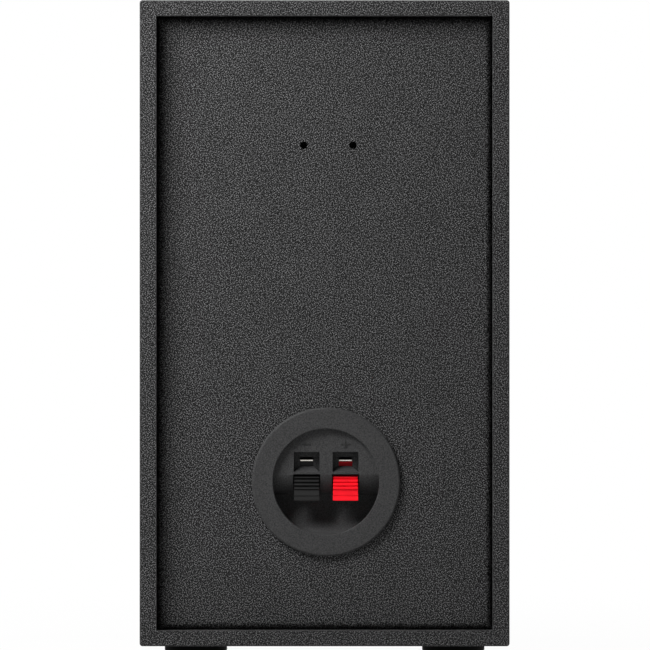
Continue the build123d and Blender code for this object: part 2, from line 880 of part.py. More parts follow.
def make_dust_cap():
    """The domed cap, whose edge stands on the cone."""
    edge = cone_front(dust_cap_radius)
    return turned(dome_profile(dust_cap_radius, edge, dust_cap_rise, dust_cap_thickness))


def make_voice_coil():
    """The former with its winding, centred in the magnet's gap."""
    inner = coil_former_radius - coil_former_wall
    outer = coil_former_radius + coil_winding
    gap_middle = basket_seat_depth + basket_thickness + top_plate_thickness / 2
    winding_start = gap_middle - coil_winding_length / 2
    winding_end = gap_middle + coil_winding_length / 2
    return turned(polygon(
        (inner, cone_neck_depth),
        (coil_former_radius, cone_neck_depth),
        (coil_former_radius, winding_start),
        (outer, winding_start),
        (outer, winding_end),
        (inner, winding_end),
    ))


def make_spider():
    """The pleated disc that centres the coil, from the former to the basket's shelf."""
    half = spider_thickness / 2
    seat = basket_shelf_depth - half
    pleat_start = coil_former_radius + spider_wave
    pleat_end = basket_seat_radius
    step = (pleat_end - pleat_start) / (2 * spider_wave_count)
    points = [(coil_former_radius, seat)]
    for index in range(2 * spider_wave_count + 1):
        shift = -spider_wave if index % 2 else 0
        points.append((pleat_start + index * step, seat + shift))
    points.append((basket_shelf_radius - basket_thickness, seat))
    return turned(trace(Polyline(*points), spider_thickness))


def make_motor():
    """The woofer's top plate, ring magnet, and yoke with its pole."""
    plate_start = basket_seat_depth + basket_thickness
    magnet_start = plate_start + top_plate_thickness
    yoke_start = magnet_start + magnet_thickness
    yoke_end = yoke_start + yoke_thickness
    pole_radius = coil_former_radius - coil_former_wall - coil_gap
    yoke = turned(polygon(
        (0, plate_start),
        (pole_radius, plate_start),
        (pole_radius, yoke_start),
        (yoke_radius, yoke_start),
        (yoke_radius, yoke_end - yoke_relief),
        (yoke_radius - yoke_relief, yoke_end),
        (0, yoke_end),
    ))
    return {
        "woofer_top_plate": disc(top_plate_radius, plate_start, magnet_start, coil_bore()),
        "woofer_magnet": disc(magnet_radius, magnet_start, yoke_start, coil_bore() + magnet_bore_margin),
        "woofer_yoke": yoke,
    }


def make_tag_strip():
    """An insulating strip with two solder tags, its back on the plane y = 0, standing up in Z."""
    strip = block((-strip_width / 2, strip_width / 2), (0, strip_thickness), (0, strip_height))
    for side in (-1, 1):
        tag = block(
            (side * strip_tag_pitch / 2 - tag_width / 2, side * strip_tag_pitch / 2 + tag_width / 2),
            (strip_thickness, strip_thickness + contact_thickness),
            (strip_height / 2, strip_height + tag_length),
        )
        strip += tag
    return strip


def make_woofer():
    """Every piece of the woofer, moved to its place on the baffle."""
    pieces = {
        "woofer_basket": make_basket(),
        "woofer_gasket": make_gasket(),
        "woofer_surround": make_surround(),
        "woofer_cone": make_cone(),
        "woofer_dust_cap": make_dust_cap(),
        "woofer_voice_coil": make_voice_coil(),
        "woofer_spider": make_spider(),
        **make_motor(),
    }
    nodes = {name: Pos(0, front_y, woofer_z) * piece for name, piece in pieces.items()}
    nodes["woofer_tag_strip"] = Pos(0, woofer_strip_y, woofer_strip_z) * make_tag_strip()
    nodes["woofer_screws"] = make_screws(woofer_screw_places(), basket_thickness)
    return nodes


def make_tweeter_faceplate():
    """The moulded faceplate with a shallow flared mouth and screw holes."""
    lip_edge = tweeter_throat_radius + dome_surround_lip
    lip_seat = tweeter_spigot_depth - dome_thickness
    flare_middle = (
        (tweeter_mouth_radius + 2 * tweeter_throat_radius) / 3,
        (-tweeter_flange + 3 * tweeter_throat_depth) / 4,
    )
    edges = [
        Polyline(
            (tweeter_throat_radius, tweeter_throat_depth),
            (tweeter_throat_radius, lip_seat),
            (lip_edge, lip_seat),
            (lip_edge, tweeter_spigot_depth),
            (tweeter_spigot_radius, tweeter_spigot_depth),
            (tweeter_spigot_radius, 0),
            (tweeter_radius, 0),
            (tweeter_radius, tweeter_edge_chamfer - tweeter_flange),
            (tweeter_radius - tweeter_edge_chamfer, -tweeter_flange),
            (tweeter_mouth_radius, -tweeter_flange),
        ),
        ThreePointArc(
            (tweeter_mouth_radius, -tweeter_flange),
            flare_middle,
            (tweeter_throat_radius, tweeter_throat_depth),
        ),
    ]
    plate = turned(make_face(edges))
    screw_hole = disc(screw_shank_radius + screw_clearance, -tweeter_flange, 0)
    for x, z in screw_places(tweeter_screw_circle, 0):
        plate -= Pos(x, 0, z) * screw_hole
    return plate


def make_dome():
    """The soft dome, whose edge stands on the coil former."""
    edge = tweeter_spigot_depth - dome_thickness
    return turned(dome_profile(dome_radius, edge, dome_rise, dome_thickness))


def make_tweeter():
    """Every piece of the tweeter, moved to its place on the baffle."""
    plate_start = tweeter_spigot_depth
    magnet_start = plate_start + tweeter_plate_thickness
    yoke_start = tweeter_yoke_start
    yoke_end = yoke_start + tweeter_yoke_thickness
    coil_inner = dome_radius - tweeter_coil_wall
    coil_outer = dome_radius + tweeter_coil_winding
    bore = coil_outer + coil_gap
    magnet_bore = bore + tweeter_magnet_bore_margin
    base = tweeter_spigot_depth - dome_thickness
    roll_start = dome_radius + dome_thickness
    roll_end = tweeter_throat_radius - dome_thickness
    yoke = turned(polygon(
        (0, plate_start + dome_thickness),
        (coil_inner - coil_gap, plate_start + dome_thickness),
        (coil_inner - coil_gap, yoke_start),
        (tweeter_yoke_radius, yoke_start),
        (tweeter_yoke_radius, yoke_end),
        (0, yoke_end),
    ))
    pieces = {
        "tweeter_faceplate": make_tweeter_faceplate(),
        "tweeter_dome": make_dome(),
        "tweeter_surround": turned(roll_profile(
            roll_start, roll_end, dome_thickness, dome_surround_lip, dome_thickness, tweeter_spigot_depth,
        )),
        "tweeter_voice_coil": turned(polygon(
            (coil_inner, base),
            (dome_radius, base),
            (dome_radius, plate_start + dome_thickness),
            (coil_outer, plate_start + dome_thickness),
            (coil_outer, plate_start + tweeter_coil_length),
            (coil_inner, plate_start + tweeter_coil_length),
        )),
        "tweeter_top_plate": disc(tweeter_yoke_radius, plate_start, magnet_start, bore),
        "tweeter_magnet": disc(tweeter_magnet_radius, magnet_start, yoke_start, magnet_bore),
        "tweeter_yoke": yoke,
    }
    nodes = {name: Pos(0, front_y, tweeter_z) * piece for name, piece in pieces.items()}
    nodes["tweeter_tag_strip"] = Pos(0, tweeter_strip_y, tweeter_strip_z) * make_tag_strip()
    nodes["tweeter_screws"] = make_screws(tweeter_screw_places(), tweeter_flange)
    return nodes


# Port and grille


def make_port_tube():
    """The flanged port with a flared mouth."""
    outer = port_bore_radius + port_wall
    face = polygon(
        (port_bore_radius, -port_flange_thickness),
        (port_flange_radius, -port_flange_thickness),
        (port_flange_radius, 0),
        (outer, 0),
        (outer, port_length),
        (port_bore_radius, port_length),
    )
    bore_corners = face.vertices().group_by(Axis.X)[0]
    mouth = bore_corners.sort_by(Axis.Y)[0]
    return Pos(0, front_y, port_z) * turned(fillet(mouth, port_flare))


def peg_places():
    """The X and Z of the four grille pegs."""
    x = cabinet_width / 2 - peg_side_inset
    z = cabinet_height / 2 - peg_end_inset
    return [(side * x, middle_z + end * z) for side in (-1, 1) for end in (-1, 1)]


def make_grille():
    """The frame with its round-cornered opening, the cloth over it, its pegs, and their sockets."""
    width = cabinet_width - 2 * grille_inset
    height = cabinet_height - 2 * grille_inset
    frame_front = front_y - grille_frame_thickness
    skin = 2 * cloth_thickness
    frame_corner = grille_corner - cloth_thickness
    cloth_front = frame_front - cloth_thickness
    frame = rounded_plate(width - skin, height - skin, frame_corner, frame_front, front_y)
    cloth = rounded_plate(width, height, grille_corner, cloth_front, front_y) - frame
    frame -= rounded_plate(window_width, window_height, grille_opening_corner, frame_front, front_y)
    peg = disc(peg_radius, front_y, front_y + peg_length)
    peg = chamfer(peg.edges().group_by(Axis.Y)[-1], peg_radius / 4)
    bore = peg_radius + peg_clearance
    socket = disc(bore + socket_wall, front_y, front_y + socket_depth)
    socket -= disc(bore, front_y, front_y + socket_depth - socket_wall)
    return {
        "grille_frame": Pos(0, 0, middle_z) * frame,
        "grille_cloth": Pos(0, 0, middle_z) * cloth,
        "grille_pegs": Compound(children=[Pos(x, 0, z) * peg for x, z in peg_places()]),
        "grille_sockets": Compound(children=[Pos(x, 0, z) * socket for x, z in peg_places()]),
    }


# Crossover, lining and leads


def make_crossover():
    """The crossover board on its spacers, with a capacitor and an air-cored inductor."""
    board_z = floor_z + spacer_height
    top_z = board_z + board_thickness
    board = block(
        (-board_length / 2, board_length / 2),
        (crossover_y - board_width / 2, crossover_y + board_width / 2),
        (board_z, top_z),
    )
    spacer = Cylinder(spacer_radius, spacer_height, align=(Align.CENTER, Align.CENTER, Align.MIN))
    x = board_length / 2 - spacer_inset
    y = board_width / 2 - spacer_inset
    spacers = [Pos(i * x, crossover_y + j * y, floor_z) * spacer for i in (-1, 1) for j in (-1, 1)]
    capacitor = Pos(-capacitor_offset, crossover_y, top_z + capacitor_radius) * Rot(90, 0, 0) * Cylinder(
        capacitor_radius, capacitor_length
    )
    winding = Cylinder(inductor_radius, inductor_height) - Cylinder(inductor_bore, inductor_height)
    return {
        "crossover_board": board,
        "crossover_spacers": Compound(children=spacers),
        "crossover_capacitor": capacitor,
        "crossover_inductor": Pos(inductor_offset, crossover_y, top_z + inductor_height / 2) * winding,
    }


def make_damping_pad():
    """The soft lining glued to the rear panel, above the terminal cup."""
    half = inner_width / 2 - corner_block_leg - lining_gap
    low = cup_z + cup_flange_radius + lining_gap
    high = middle_z + inner_height / 2 - lining_gap
    pad = block((-half, half), (panel_front_y - lining_thickness, panel_front_y), (low, high))
    return fillet(pad.edges().group_by(Axis.Y)[0], lining_round)


def bend_radii(points):
    """As large a bend at each inner point as its two runs leave room for."""
    radii = []
    for before, corner, after in zip(points, points[1:], points[2:]):
        arriving = Vector(*corner) - Vector(*before)
        leaving = Vector(*after) - Vector(*corner)
        half_turn = radians(arriving.get_angle(leaving) / 2)
        radii.append(lead_bend_share * min(arriving.length, leaving.length) / tan(half_turn))
    return radii


def make_lead(*points):
    """A round lead along straight runs joined by tangent bends."""
    path = FilletPolyline(*points, radius=bend_radii(points))
    section = Plane(origin=path @ 0, z_dir=path % 0) * Circle(lead_radius)
    return sweep(section, path)


def driver_lead(side, pad_x, tag_face_y, tag_z):
    """A lead from a pad on the crossover's front edge, up the side of the box to a driver's tag."""
    pad_y = crossover_y - board_width / 2 + spacer_inset
    board_top = floor_z + spacer_height + board_thickness
    rise_x = side * (inner_width / 2 - corner_block_leg)
    tag_x = side * strip_tag_pitch / 2
    return make_lead(
        (side * pad_x, pad_y, board_top),
        (side * pad_x, pad_y, board_top + lead_run),
        (rise_x, pad_y - lead_run / 2, board_top + 2 * lead_run),
        (rise_x, pad_y - lead_run, tag_z - lead_run),
        (tag_x, tag_face_y + lead_run, tag_z),
        (tag_x, tag_face_y, tag_z),
    )


def make_leads(side):
    """The three leads of one polarity: terminal to crossover, and crossover to each driver."""
    board_top = floor_z + spacer_height + board_thickness
    pad_x = side * (board_length / 2 - 2 * spacer_inset)
    pad_y = crossover_y + board_width / 2 - spacer_inset
    tag_x = cup_shift + side * terminal_pitch / 2
    tag_y = cup_face_y - cup_barrel_depth - cover_flange_thickness - tag_length
    tag_z = cup_z + contact_rise
    inlet = make_lead(
        (tag_x, tag_y, tag_z),
        (tag_x, tag_y - lead_run / 2, tag_z),
        (pad_x, pad_y, board_top + lead_run),
        (pad_x, pad_y, board_top),
    )
    tag_rise = strip_height + tag_length / 2
    tag_reach = strip_thickness + contact_thickness
    to_woofer = driver_lead(
        side, board_length / 2 - 2 * spacer_inset, woofer_strip_y + tag_reach, woofer_strip_z + tag_rise
    )
    to_tweeter = driver_lead(
        side, board_length / 4 - spacer_inset, tweeter_strip_y + tag_reach, tweeter_strip_z + tag_rise
    )
    return Compound(children=[inlet, to_woofer, to_tweeter])


def build():
    """Every node of the speaker, by name."""
    nodes = {}
    nodes.update(make_cabinet())
    nodes.update(make_terminals())
    nodes.update(make_woofer())
    nodes.update(make_tweeter())
    nodes["port_tube"] = make_port_tube()
    nodes.update(make_grille())
    nodes.update(make_crossover())
    nodes["damping_pad"] = make_damping_pad()
    nodes["negative_leads"] = make_leads(1)
    nodes["positive_leads"] = make_leads(-1)
    return nodes


os.makedirs("parts", exist_ok=True)
for node_name, shape in build().items():
    export_step(shape, f"parts/{node_name}.step")
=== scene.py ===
"""Finishes, soft pieces and stage of a bookshelf speaker, laid out as an add-on and run as a script.

Lengths are in metres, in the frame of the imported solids: +Z is up, the drivers face -Y and the
terminal cup faces +Y.
"""
import math

import bmesh
import bpy
from bpy.props import FloatProperty, FloatVectorProperty, IntProperty, PointerProperty
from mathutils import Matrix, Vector, noise


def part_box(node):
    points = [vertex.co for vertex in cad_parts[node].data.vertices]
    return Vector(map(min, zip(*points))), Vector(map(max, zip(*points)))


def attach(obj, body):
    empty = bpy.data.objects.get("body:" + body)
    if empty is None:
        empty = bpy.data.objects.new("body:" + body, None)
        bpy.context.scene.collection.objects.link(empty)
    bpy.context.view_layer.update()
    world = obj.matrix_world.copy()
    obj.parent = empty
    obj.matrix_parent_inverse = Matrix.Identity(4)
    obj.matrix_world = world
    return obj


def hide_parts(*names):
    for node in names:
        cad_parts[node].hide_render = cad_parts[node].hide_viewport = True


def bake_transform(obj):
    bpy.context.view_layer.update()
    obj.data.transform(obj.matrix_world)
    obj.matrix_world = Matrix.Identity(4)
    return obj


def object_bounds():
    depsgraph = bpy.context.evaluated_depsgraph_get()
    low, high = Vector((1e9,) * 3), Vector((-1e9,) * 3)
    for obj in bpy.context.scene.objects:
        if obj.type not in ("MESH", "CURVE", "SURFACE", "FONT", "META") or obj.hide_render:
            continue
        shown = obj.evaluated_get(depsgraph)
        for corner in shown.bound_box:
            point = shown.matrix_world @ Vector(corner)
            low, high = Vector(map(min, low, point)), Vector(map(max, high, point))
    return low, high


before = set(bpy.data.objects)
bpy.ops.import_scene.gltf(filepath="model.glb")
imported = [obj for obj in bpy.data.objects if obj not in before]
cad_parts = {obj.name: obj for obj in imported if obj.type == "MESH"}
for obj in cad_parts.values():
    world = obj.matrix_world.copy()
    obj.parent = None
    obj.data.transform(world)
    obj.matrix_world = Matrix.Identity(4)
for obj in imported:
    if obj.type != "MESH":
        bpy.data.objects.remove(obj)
solid_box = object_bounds()

bl_info = {
    "name": "Bookshelf speaker",
    "version": (1, 0, 0),
    "blender": (4, 5, 0),
    "location": "3D View > Sidebar > Speaker",
    "description": "Finishes, soft pieces and stage of a bookshelf speaker",
    "category": "Object",
}


# Shader trees


class Signal:
    """One output of a shader tree, which takes part in Python sums and adds its own nodes."""

    def __init__(self, tree, socket):
        self.tree = tree
        self.socket = socket

    def __add__(self, other):
        return self.tree.sum_of("ADD", self, other)

    def __radd__(self, other):
        return self.tree.sum_of("ADD", other, self)

    def __sub__(self, other):
        return self.tree.sum_of("SUBTRACT", self, other)

    def __rsub__(self, other):
        return self.tree.sum_of("SUBTRACT", other, self)

    def __mul__(self, other):
        return self.tree.sum_of("MULTIPLY", self, other)

    def __rmul__(self, other):
        return self.tree.sum_of("MULTIPLY", other, self)

    def __lt__(self, other):
        return self.tree.sum_of("LESS_THAN", self, other)

    def __gt__(self, other):
        return self.tree.sum_of("GREATER_THAN", self, other)


class ShaderTree:
    """The nodes of a material or of the world, which sums and patterns add to."""

    def __init__(self, tree):
        self.tree = tree

    def node(self, kind, settings, inputs, output):
        """Adds a node, sets its settings and then its inputs, and gives the named output."""
        added = self.tree.nodes.new(kind)
        for name, value in settings.items():
            setattr(added, name, value)
        for name, value in inputs.items():
            self.feed(socket_called(added.inputs, name), value)
        return Signal(self, socket_called(added.outputs, output))

    def feed(self, socket, value):
        """Links a signal to a socket, or sets the socket to a constant."""
        if isinstance(value, Signal):
            self.tree.links.new(value.socket, socket)
        else:
            socket.default_value = value

    def math(self, operation, *values):
        """A Math node on one value or two."""
        names = ("Value", "Value_001")
        return self.node("ShaderNodeMath", {"operation": operation}, dict(zip(names, values)), "Value")

    def sum_of(self, operation, first, second):
        """A sum of two values, or of two vectors where either is one."""
        kinds = [value.socket.type for value in (first, second) if isinstance(value, Signal)]
        if "VECTOR" not in kinds:
            return self.math(operation, first, second)
        inputs = {"Vector": first, "Vector_001": second}
        return self.node("ShaderNodeVectorMath", {"operation": operation}, inputs, "Vector")

    def seen_directly(self):
        """1 for what the camera sees, itself or in a mirror or glass, and 0 for other light."""
        rays = ("Is Camera Ray", "Is Glossy Ray", "Is Transmission Ray")
        camera, glossy, transmission = [self.node("ShaderNodeLightPath", {}, {}, ray) for ray in rays]
        return self.math("MAXIMUM", camera, self.math("MAXIMUM", glossy, transmission))

    def surface(self, shader):
        """Makes a shader the tree's surface."""
        output = next(node for node in self.tree.nodes if hasattr(node, "is_active_output"))
        self.feed(output.inputs["Surface"], shader)


class Finish(ShaderTree):
    """One material with its Principled shader, and the patterns that finishes share."""

    def __init__(self, name):
        self.material = bpy.data.materials.new(name)
        self.material.use_nodes = True
        super().__init__(self.material.node_tree)
        self.shader = self.tree.nodes["Principled BSDF"]

    def blend(self, share, first, second):
        """A colour between two colours."""
        inputs = {"Factor_Float": share, "A_Color": first, "B_Color": second}
        return self.node("ShaderNodeMix", {"data_type": "RGBA"}, inputs, "Result_Color")

    def point(self):
        """The place on the piece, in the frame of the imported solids."""
        return self.node("ShaderNodeTexCoord", {}, {}, "Object")

    def askew(self, point):
        """A place turned out of line with the faces, so that a fine pattern shows no rows."""
        turn = (0.6, 0.5, 0.8)
        inputs = {"Vector": point, "Rotation": turn}
        return self.node("ShaderNodeVectorRotate", {"rotation_type": "EULER_XYZ"}, inputs, "Vector")

    def laid_flat(self, point):
        """The place on a face square to an axis, as X and Y, turned so that a pattern shows no rows."""
        turn = 0.6
        normal = self.node("ShaderNodeNewGeometry", {}, {}, "True Normal")
        x, y, z = [self.along(point, axis) for axis in "XYZ"]
        across = x + self.math("ABSOLUTE", self.along(normal, "X")) * (y - x)
        upward = z + self.math("ABSOLUTE", self.along(normal, "Z")) * (y - z)
        flat = self.node("ShaderNodeCombineXYZ", {}, {"X": across, "Y": upward}, "Vector")
        inputs = {"Vector": flat, "Angle": turn}
        return self.node("ShaderNodeVectorRotate", {"rotation_type": "Z_AXIS"}, inputs, "Vector")

    def along(self, point, axis):
        """One coordinate of a point."""
        return self.node("ShaderNodeSeparateXYZ", {}, {"Vector": point}, axis)

    def cloud(self, point, size, detail=2.0, dimensions="3D"):
        """Soft noise from 0 to 1, with spots of about the given size."""
        settings = {"noise_dimensions": dimensions}
        inputs = {"Vector": point, "Scale": 1 / size, "Detail": detail}
        return self.node("ShaderNodeTexNoise", settings, inputs, "Fac")

    def pebbles(self, point, size):
        """Rounded flat cells of about the given size, 0 in the middle of each."""
        softness = 0.35
        settings = {"feature": "SMOOTH_F1", "voronoi_dimensions": "2D"}
        inputs = {"Vector": point, "Scale": 1 / size, "Smoothness": softness}
        return self.node("ShaderNodeTexVoronoi", settings, inputs, "Distance")

    def ripple(self, coordinate, pitch):
        """Even waves from 0 to 1 along a coordinate."""
        return 0.5 + 0.5 * self.math("SINE", coordinate * (2 * math.pi / pitch))

    def within(self, coordinate, low, high):
        """1 between two limits of a coordinate, and 0 outside."""
        return (coordinate > low) * (coordinate < high)

    def relief(self, height, depth):
        """A normal from a height of 0 to 1 that stands for the given depth."""
        return self.node("ShaderNodeBump", {}, {"Height": height, "Distance": depth}, "Normal")

    def shade(self, sockets):
        """Sets the shader's sockets and gives the finished material."""
        for name, value in sockets.items():
            self.feed(socket_called(self.shader.inputs, name), value)
        return self.material


def socket_called(sockets, identifier):
    """A node's socket by its identifier, because several may share a name."""
    for socket in sockets:
        if socket.identifier == identifier:
            return socket
    raise KeyError("no socket called " + identifier)


def opaque(color):
    """A colour with full alpha, as a shader socket takes it."""
    return (*color, 1.0)


def lighter(color, factor):
    """A colour times a factor."""
    return tuple(min(1.0, channel * factor) for channel in color)


# Finishes


def pebble_vinyl(settings):
    """Black vinyl with an embossed pebble grain whose raised spots carry painted highlights, over chipboard
    that shows only inside the cabinet.
    """
    patch_size = 40 * settings.grain_size
    finish = Finish("pebble_vinyl")
    point = finish.point()
    flat = finish.laid_flat(point)
    grain = finish.cloud(flat, settings.grain_size, detail=0.0, dimensions="2D")
    pebble = finish.pebbles(flat, settings.grain_size)
    patch = finish.cloud(flat, patch_size, dimensions="2D")
    # Painted highlights: the grain's high spots are painted far lighter than the vinyl, standing in for the
    # light they catch; the patch term is a slight real tone variation.
    painted_glint = settings.painted_glint_contrast * (grain - 0.5) + 0.1 * (patch - 0.5) + settings.painted_glint_share
    dark = settings.vinyl_color
    vinyl = finish.blend(painted_glint, opaque(dark), opaque(lighter(dark, settings.painted_glint_gain)))
    return finish.shade({
        "Base Color": finish.blend(inside_cabinet(finish, point), vinyl, chipboard(finish, point)),
        "Roughness": 0.5 + 0.3 * grain,
        "Normal": finish.relief(0.7 * grain - 0.45 * pebble, settings.grain_depth),
        "Specular IOR Level": 0.1,
    })


def chipboard(finish, point):
    """The colour of bare chipboard, with its chips lying along the board."""
    dark_chip = (0.16, 0.1, 0.05, 1.0)
    pale_chip = (0.45, 0.32, 0.18, 1.0)
    chip_size = 0.004
    chips = finish.cloud(point * (1.0, 0.35, 1.0), chip_size, detail=4.0)
    return finish.blend(3.0 * (chips - 0.35), dark_chip, pale_chip)


def inside_cabinet(finish, point):
    """1 on the unwrapped faces between the baffle and the rear panel."""
    skin = 0.0002
    low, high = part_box("front_baffle")
    panel_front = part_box("rear_panel")[0].y
    across = finish.within(finish.along(point, "X"), low.x - skin, high.x + skin)
    upright = finish.within(finish.along(point, "Z"), low.z - skin, high.z + skin)
    deep = finish.within(finish.along(point, "Y"), high.y - skin, panel_front + skin)
    return across * upright * deep


def painted_board(name, color):
    """Fibreboard under a thin matt paint, with the fibres just showing."""
    fibre_size = 0.0012
    fibre_depth = 0.00006
    patch_size = 0.03
    finish = Finish(name)
    point = finish.point()
    fibre = finish.cloud(point, fibre_size, detail=4.0)
    patch = finish.cloud(point, patch_size)
    return finish.shade({
        "Base Color": finish.blend(0.5 * fibre + 0.5 * patch, opaque(color), opaque(lighter(color, 1.7))),
        "Roughness": 0.55 + 0.25 * fibre,
        "Normal": finish.relief(fibre, fibre_depth),
        "Specular IOR Level": 0.3,
    })


def raw_wood():
    """Sawn softwood with its grain along the blocks."""
    early_wood = (0.62, 0.44, 0.25, 1.0)
    late_wood = (0.4, 0.25, 0.12, 1.0)
    streak_size = 0.0016
    ring_pitch = 0.0034
    ring_waver = 0.006
    saw_depth = 0.0001
    finish = Finish("raw_wood")
    point = finish.point()
    streak = finish.cloud(point * (1.0, 1.0, 0.06), streak_size, detail=4.0)
    ring = finish.ripple(finish.along(point, "X") + ring_waver * streak, ring_pitch)
    return finish.shade({
        "Base Color": finish.blend(0.6 * ring + 0.5 * streak, early_wood, late_wood),
        "Roughness": 0.65 + 0.2 * streak,
        "Normal": finish.relief(streak, saw_depth),
    })


def rubber(name, color, grain_size):
    """Matt rubber with a fine bloom."""
    grain_depth = 0.00003
    bloom_size = 0.012
    finish = Finish(name)
    point = finish.point()
    grain = finish.cloud(point, grain_size, detail=3.0)
    bloom = finish.cloud(point, bloom_size)
    return finish.shade({
        "Base Color": finish.blend(0.4 * grain + 0.5 * bloom, opaque(color), opaque(lighter(color, 1.8))),
        "Roughness": 0.5 + 0.3 * bloom,
        "Normal": finish.relief(grain, grain_depth),
        "Specular IOR Level": 0.05,
    })


def moulded_plastic(name, color, grain_size, grain_depth=0.00003):
    """Plastic with the fine spark texture of its mould."""
    flow_size = 0.015
    finish = Finish(name)
    point = finish.askew(finish.point())
    spark = finish.cloud(point, grain_size, detail=3.0)
    flow = finish.cloud(point, flow_size)
    tone = 3.0 * (spark - 0.5) + 0.4 * flow + 0.3
    return finish.shade({
        "Base Color": finish.blend(tone, opaque(lighter(color, 0.6)), opaque(lighter(color, 1.4))),
        "Roughness": 0.45 + 0.2 * spark,
        "Normal": finish.relief(spark, grain_depth),
        "Specular IOR Level": 0.1,
    })


def lever_plastic(name, color, roughness, gloss):
    """Smooth lever plastic with faint flow marks and finger wear."""
    flow_size = 0.004
    scuff_size = 0.0006
    scuff_depth = 0.000006
    finish = Finish(name)
    point = finish.point()
    flow = finish.cloud(point, flow_size, detail=3.0)
    scuff = finish.cloud(point * (0.25, 1.0, 1.0), scuff_size)
    return finish.shade({
        "Base Color": finish.blend(flow, opaque(lighter(color, 0.85)), opaque(lighter(color, 1.1))),
        "Roughness": roughness + 0.18 * scuff,
        "Normal": finish.relief(scuff, scuff_depth),
        "Specular IOR Level": gloss,
    })


def bright_contact():
    """Bright plated spring strip with fine rolling lines."""
    clean_plating = (0.86, 0.84, 0.8, 1.0)
    dull_plating = (0.62, 0.58, 0.5, 1.0)
    line_size = 0.0002
    line_depth = 0.000004
    tarnish_size = 0.003
    finish = Finish("bright_contact")
    point = finish.point()
    lines = finish.cloud(point * (1.0, 0.05, 0.05), line_size)
    tarnish = finish.cloud(point, tarnish_size, detail=3.0)
    return finish.shade({
        "Base Color": finish.blend(tarnish, clean_plating, dull_plating),
        "Metallic": 1.0,
        "Roughness": 0.18 + 0.2 * lines,
        "Normal": finish.relief(lines, line_depth),
    })


def painted_steel():
    """Pressed steel under black paint with a slight orange peel."""
    clean_paint = (0.018, 0.018, 0.019, 1.0)
    dusty_paint = (0.04, 0.04, 0.042, 1.0)
    peel_size = 0.0016
    peel_depth = 0.00002
    dust_size = 0.02
    finish = Finish("painted_steel")
    point = finish.point()
    peel = finish.cloud(point, peel_size)
    dust = finish.cloud(point, dust_size, detail=4.0)
    return finish.shade({
        "Base Color": finish.blend(dust, clean_paint, dusty_paint),
        "Roughness": 0.3 + 0.25 * dust,
        "Normal": finish.relief(peel, peel_depth),
    })


def plated_steel():
    """Turned steel with a yellowish zinc plating."""
    yellow_zinc = (0.66, 0.63, 0.5, 1.0)
    grey_zinc = (0.5, 0.5, 0.48, 1.0)
    turning_pitch = 0.0005
    turning_depth = 0.000004
    waver_size = 0.002
    waver_reach = 0.0004
    stain_size = 0.008
    finish = Finish("plated_steel")
    point = finish.point()
    waver = waver_reach * finish.cloud(point, waver_size)
    turning = finish.ripple(finish.along(point, "Y") + waver, turning_pitch)
    stain = finish.cloud(point, stain_size, detail=4.0)
    return finish.shade({
        "Base Color": finish.blend(stain, yellow_zinc, grey_zinc),
        "Metallic": 1.0,
        "Roughness": 0.28 + 0.25 * stain,
        "Normal": finish.relief(turning, turning_depth),
    })


def ferrite():
    """Dark ground ceramic magnet with chips and fine grinding lines."""
    ground_face = (0.045, 0.045, 0.048, 1.0)
    chipped_face = (0.12, 0.12, 0.125, 1.0)
    grind_size = 0.0005
    chip_size = 0.003
    chip_depth = 0.00002
    finish = Finish("ferrite")
    point = finish.point()
    grind = finish.cloud(point * (0.1, 1.0, 1.0), grind_size, detail=3.0)
    chip = finish.cloud(point, chip_size, detail=5.0)
    return finish.shade({
        "Base Color": finish.blend(3.0 * (chip - 0.4), ground_face, chipped_face),
        "Roughness": 0.45 + 0.3 * grind,
        "Normal": finish.relief(grind + chip, chip_depth),
    })


def paper_pulp(color):
    """Pressed paper pulp with short fibres."""
    fibre_size = 0.0007
    fibre_depth = 0.00012
    felt_size = 0.006
    finish = Finish("paper_pulp")
    point = finish.point()
    fibre = finish.cloud(point, fibre_size, detail=6.0)
    felt = finish.cloud(point, felt_size, detail=3.0)
    return finish.shade({
        "Base Color": finish.blend(2.0 * (fibre - 0.25), opaque(color), opaque(lighter(color, 2.2))),
        "Roughness": 0.7 + 0.2 * felt,
        "Normal": finish.relief(fibre + 0.5 * felt, fibre_depth),
        "Specular IOR Level": 0.25,
    })


def stiffened_weave(name, color, pitch, depth):
    """An open plain weave, such as a spider's cloth or a coated dome."""
    resin_size = 0.005
    finish = Finish(name)
    point = finish.point()
    warp = finish.ripple(finish.along(point, "X"), pitch)
    weft = finish.ripple(finish.along(point, "Z"), pitch)
    resin = finish.cloud(point, resin_size, detail=3.0)
    threads = finish.math("MAXIMUM", warp, weft)
    return finish.shade({
        "Base Color": finish.blend(0.7 * threads + 0.3 * resin, opaque(lighter(color, 0.5)), opaque(color)),
        "Roughness": 0.5 + 0.3 * resin,
        "Normal": finish.relief(threads, depth),
        "Sheen Weight": 0.15,
    })


def enamelled_winding(name, axis, pitch):
    """Turns of enamelled copper wire along an axis, with painted shade between the turns and a painted
    highlight along each.
    """
    shaded_enamel = (0.25, 0.08, 0.03, 1.0)
    lit_enamel = (0.75, 0.33, 0.14, 1.0)
    enamel_size = 0.003
    turn_depth = 0.25 * pitch
    finish = Finish(name)
    point = finish.point()
    turn = finish.ripple(finish.along(point, axis), pitch)
    enamel = finish.cloud(point, enamel_size, detail=3.0)
    return finish.shade({
        # Painted shade and highlight: each turn is painted light on its crest and dark in the groove to the
        # next; the enamel term is a real tone variation.
        "Base Color": finish.blend(0.6 * turn + 0.4 * enamel, shaded_enamel, lit_enamel),
        "Metallic": 0.8,
        "Roughness": 0.25 + 0.2 * enamel,
        "Normal": finish.relief(turn, turn_depth),
    })


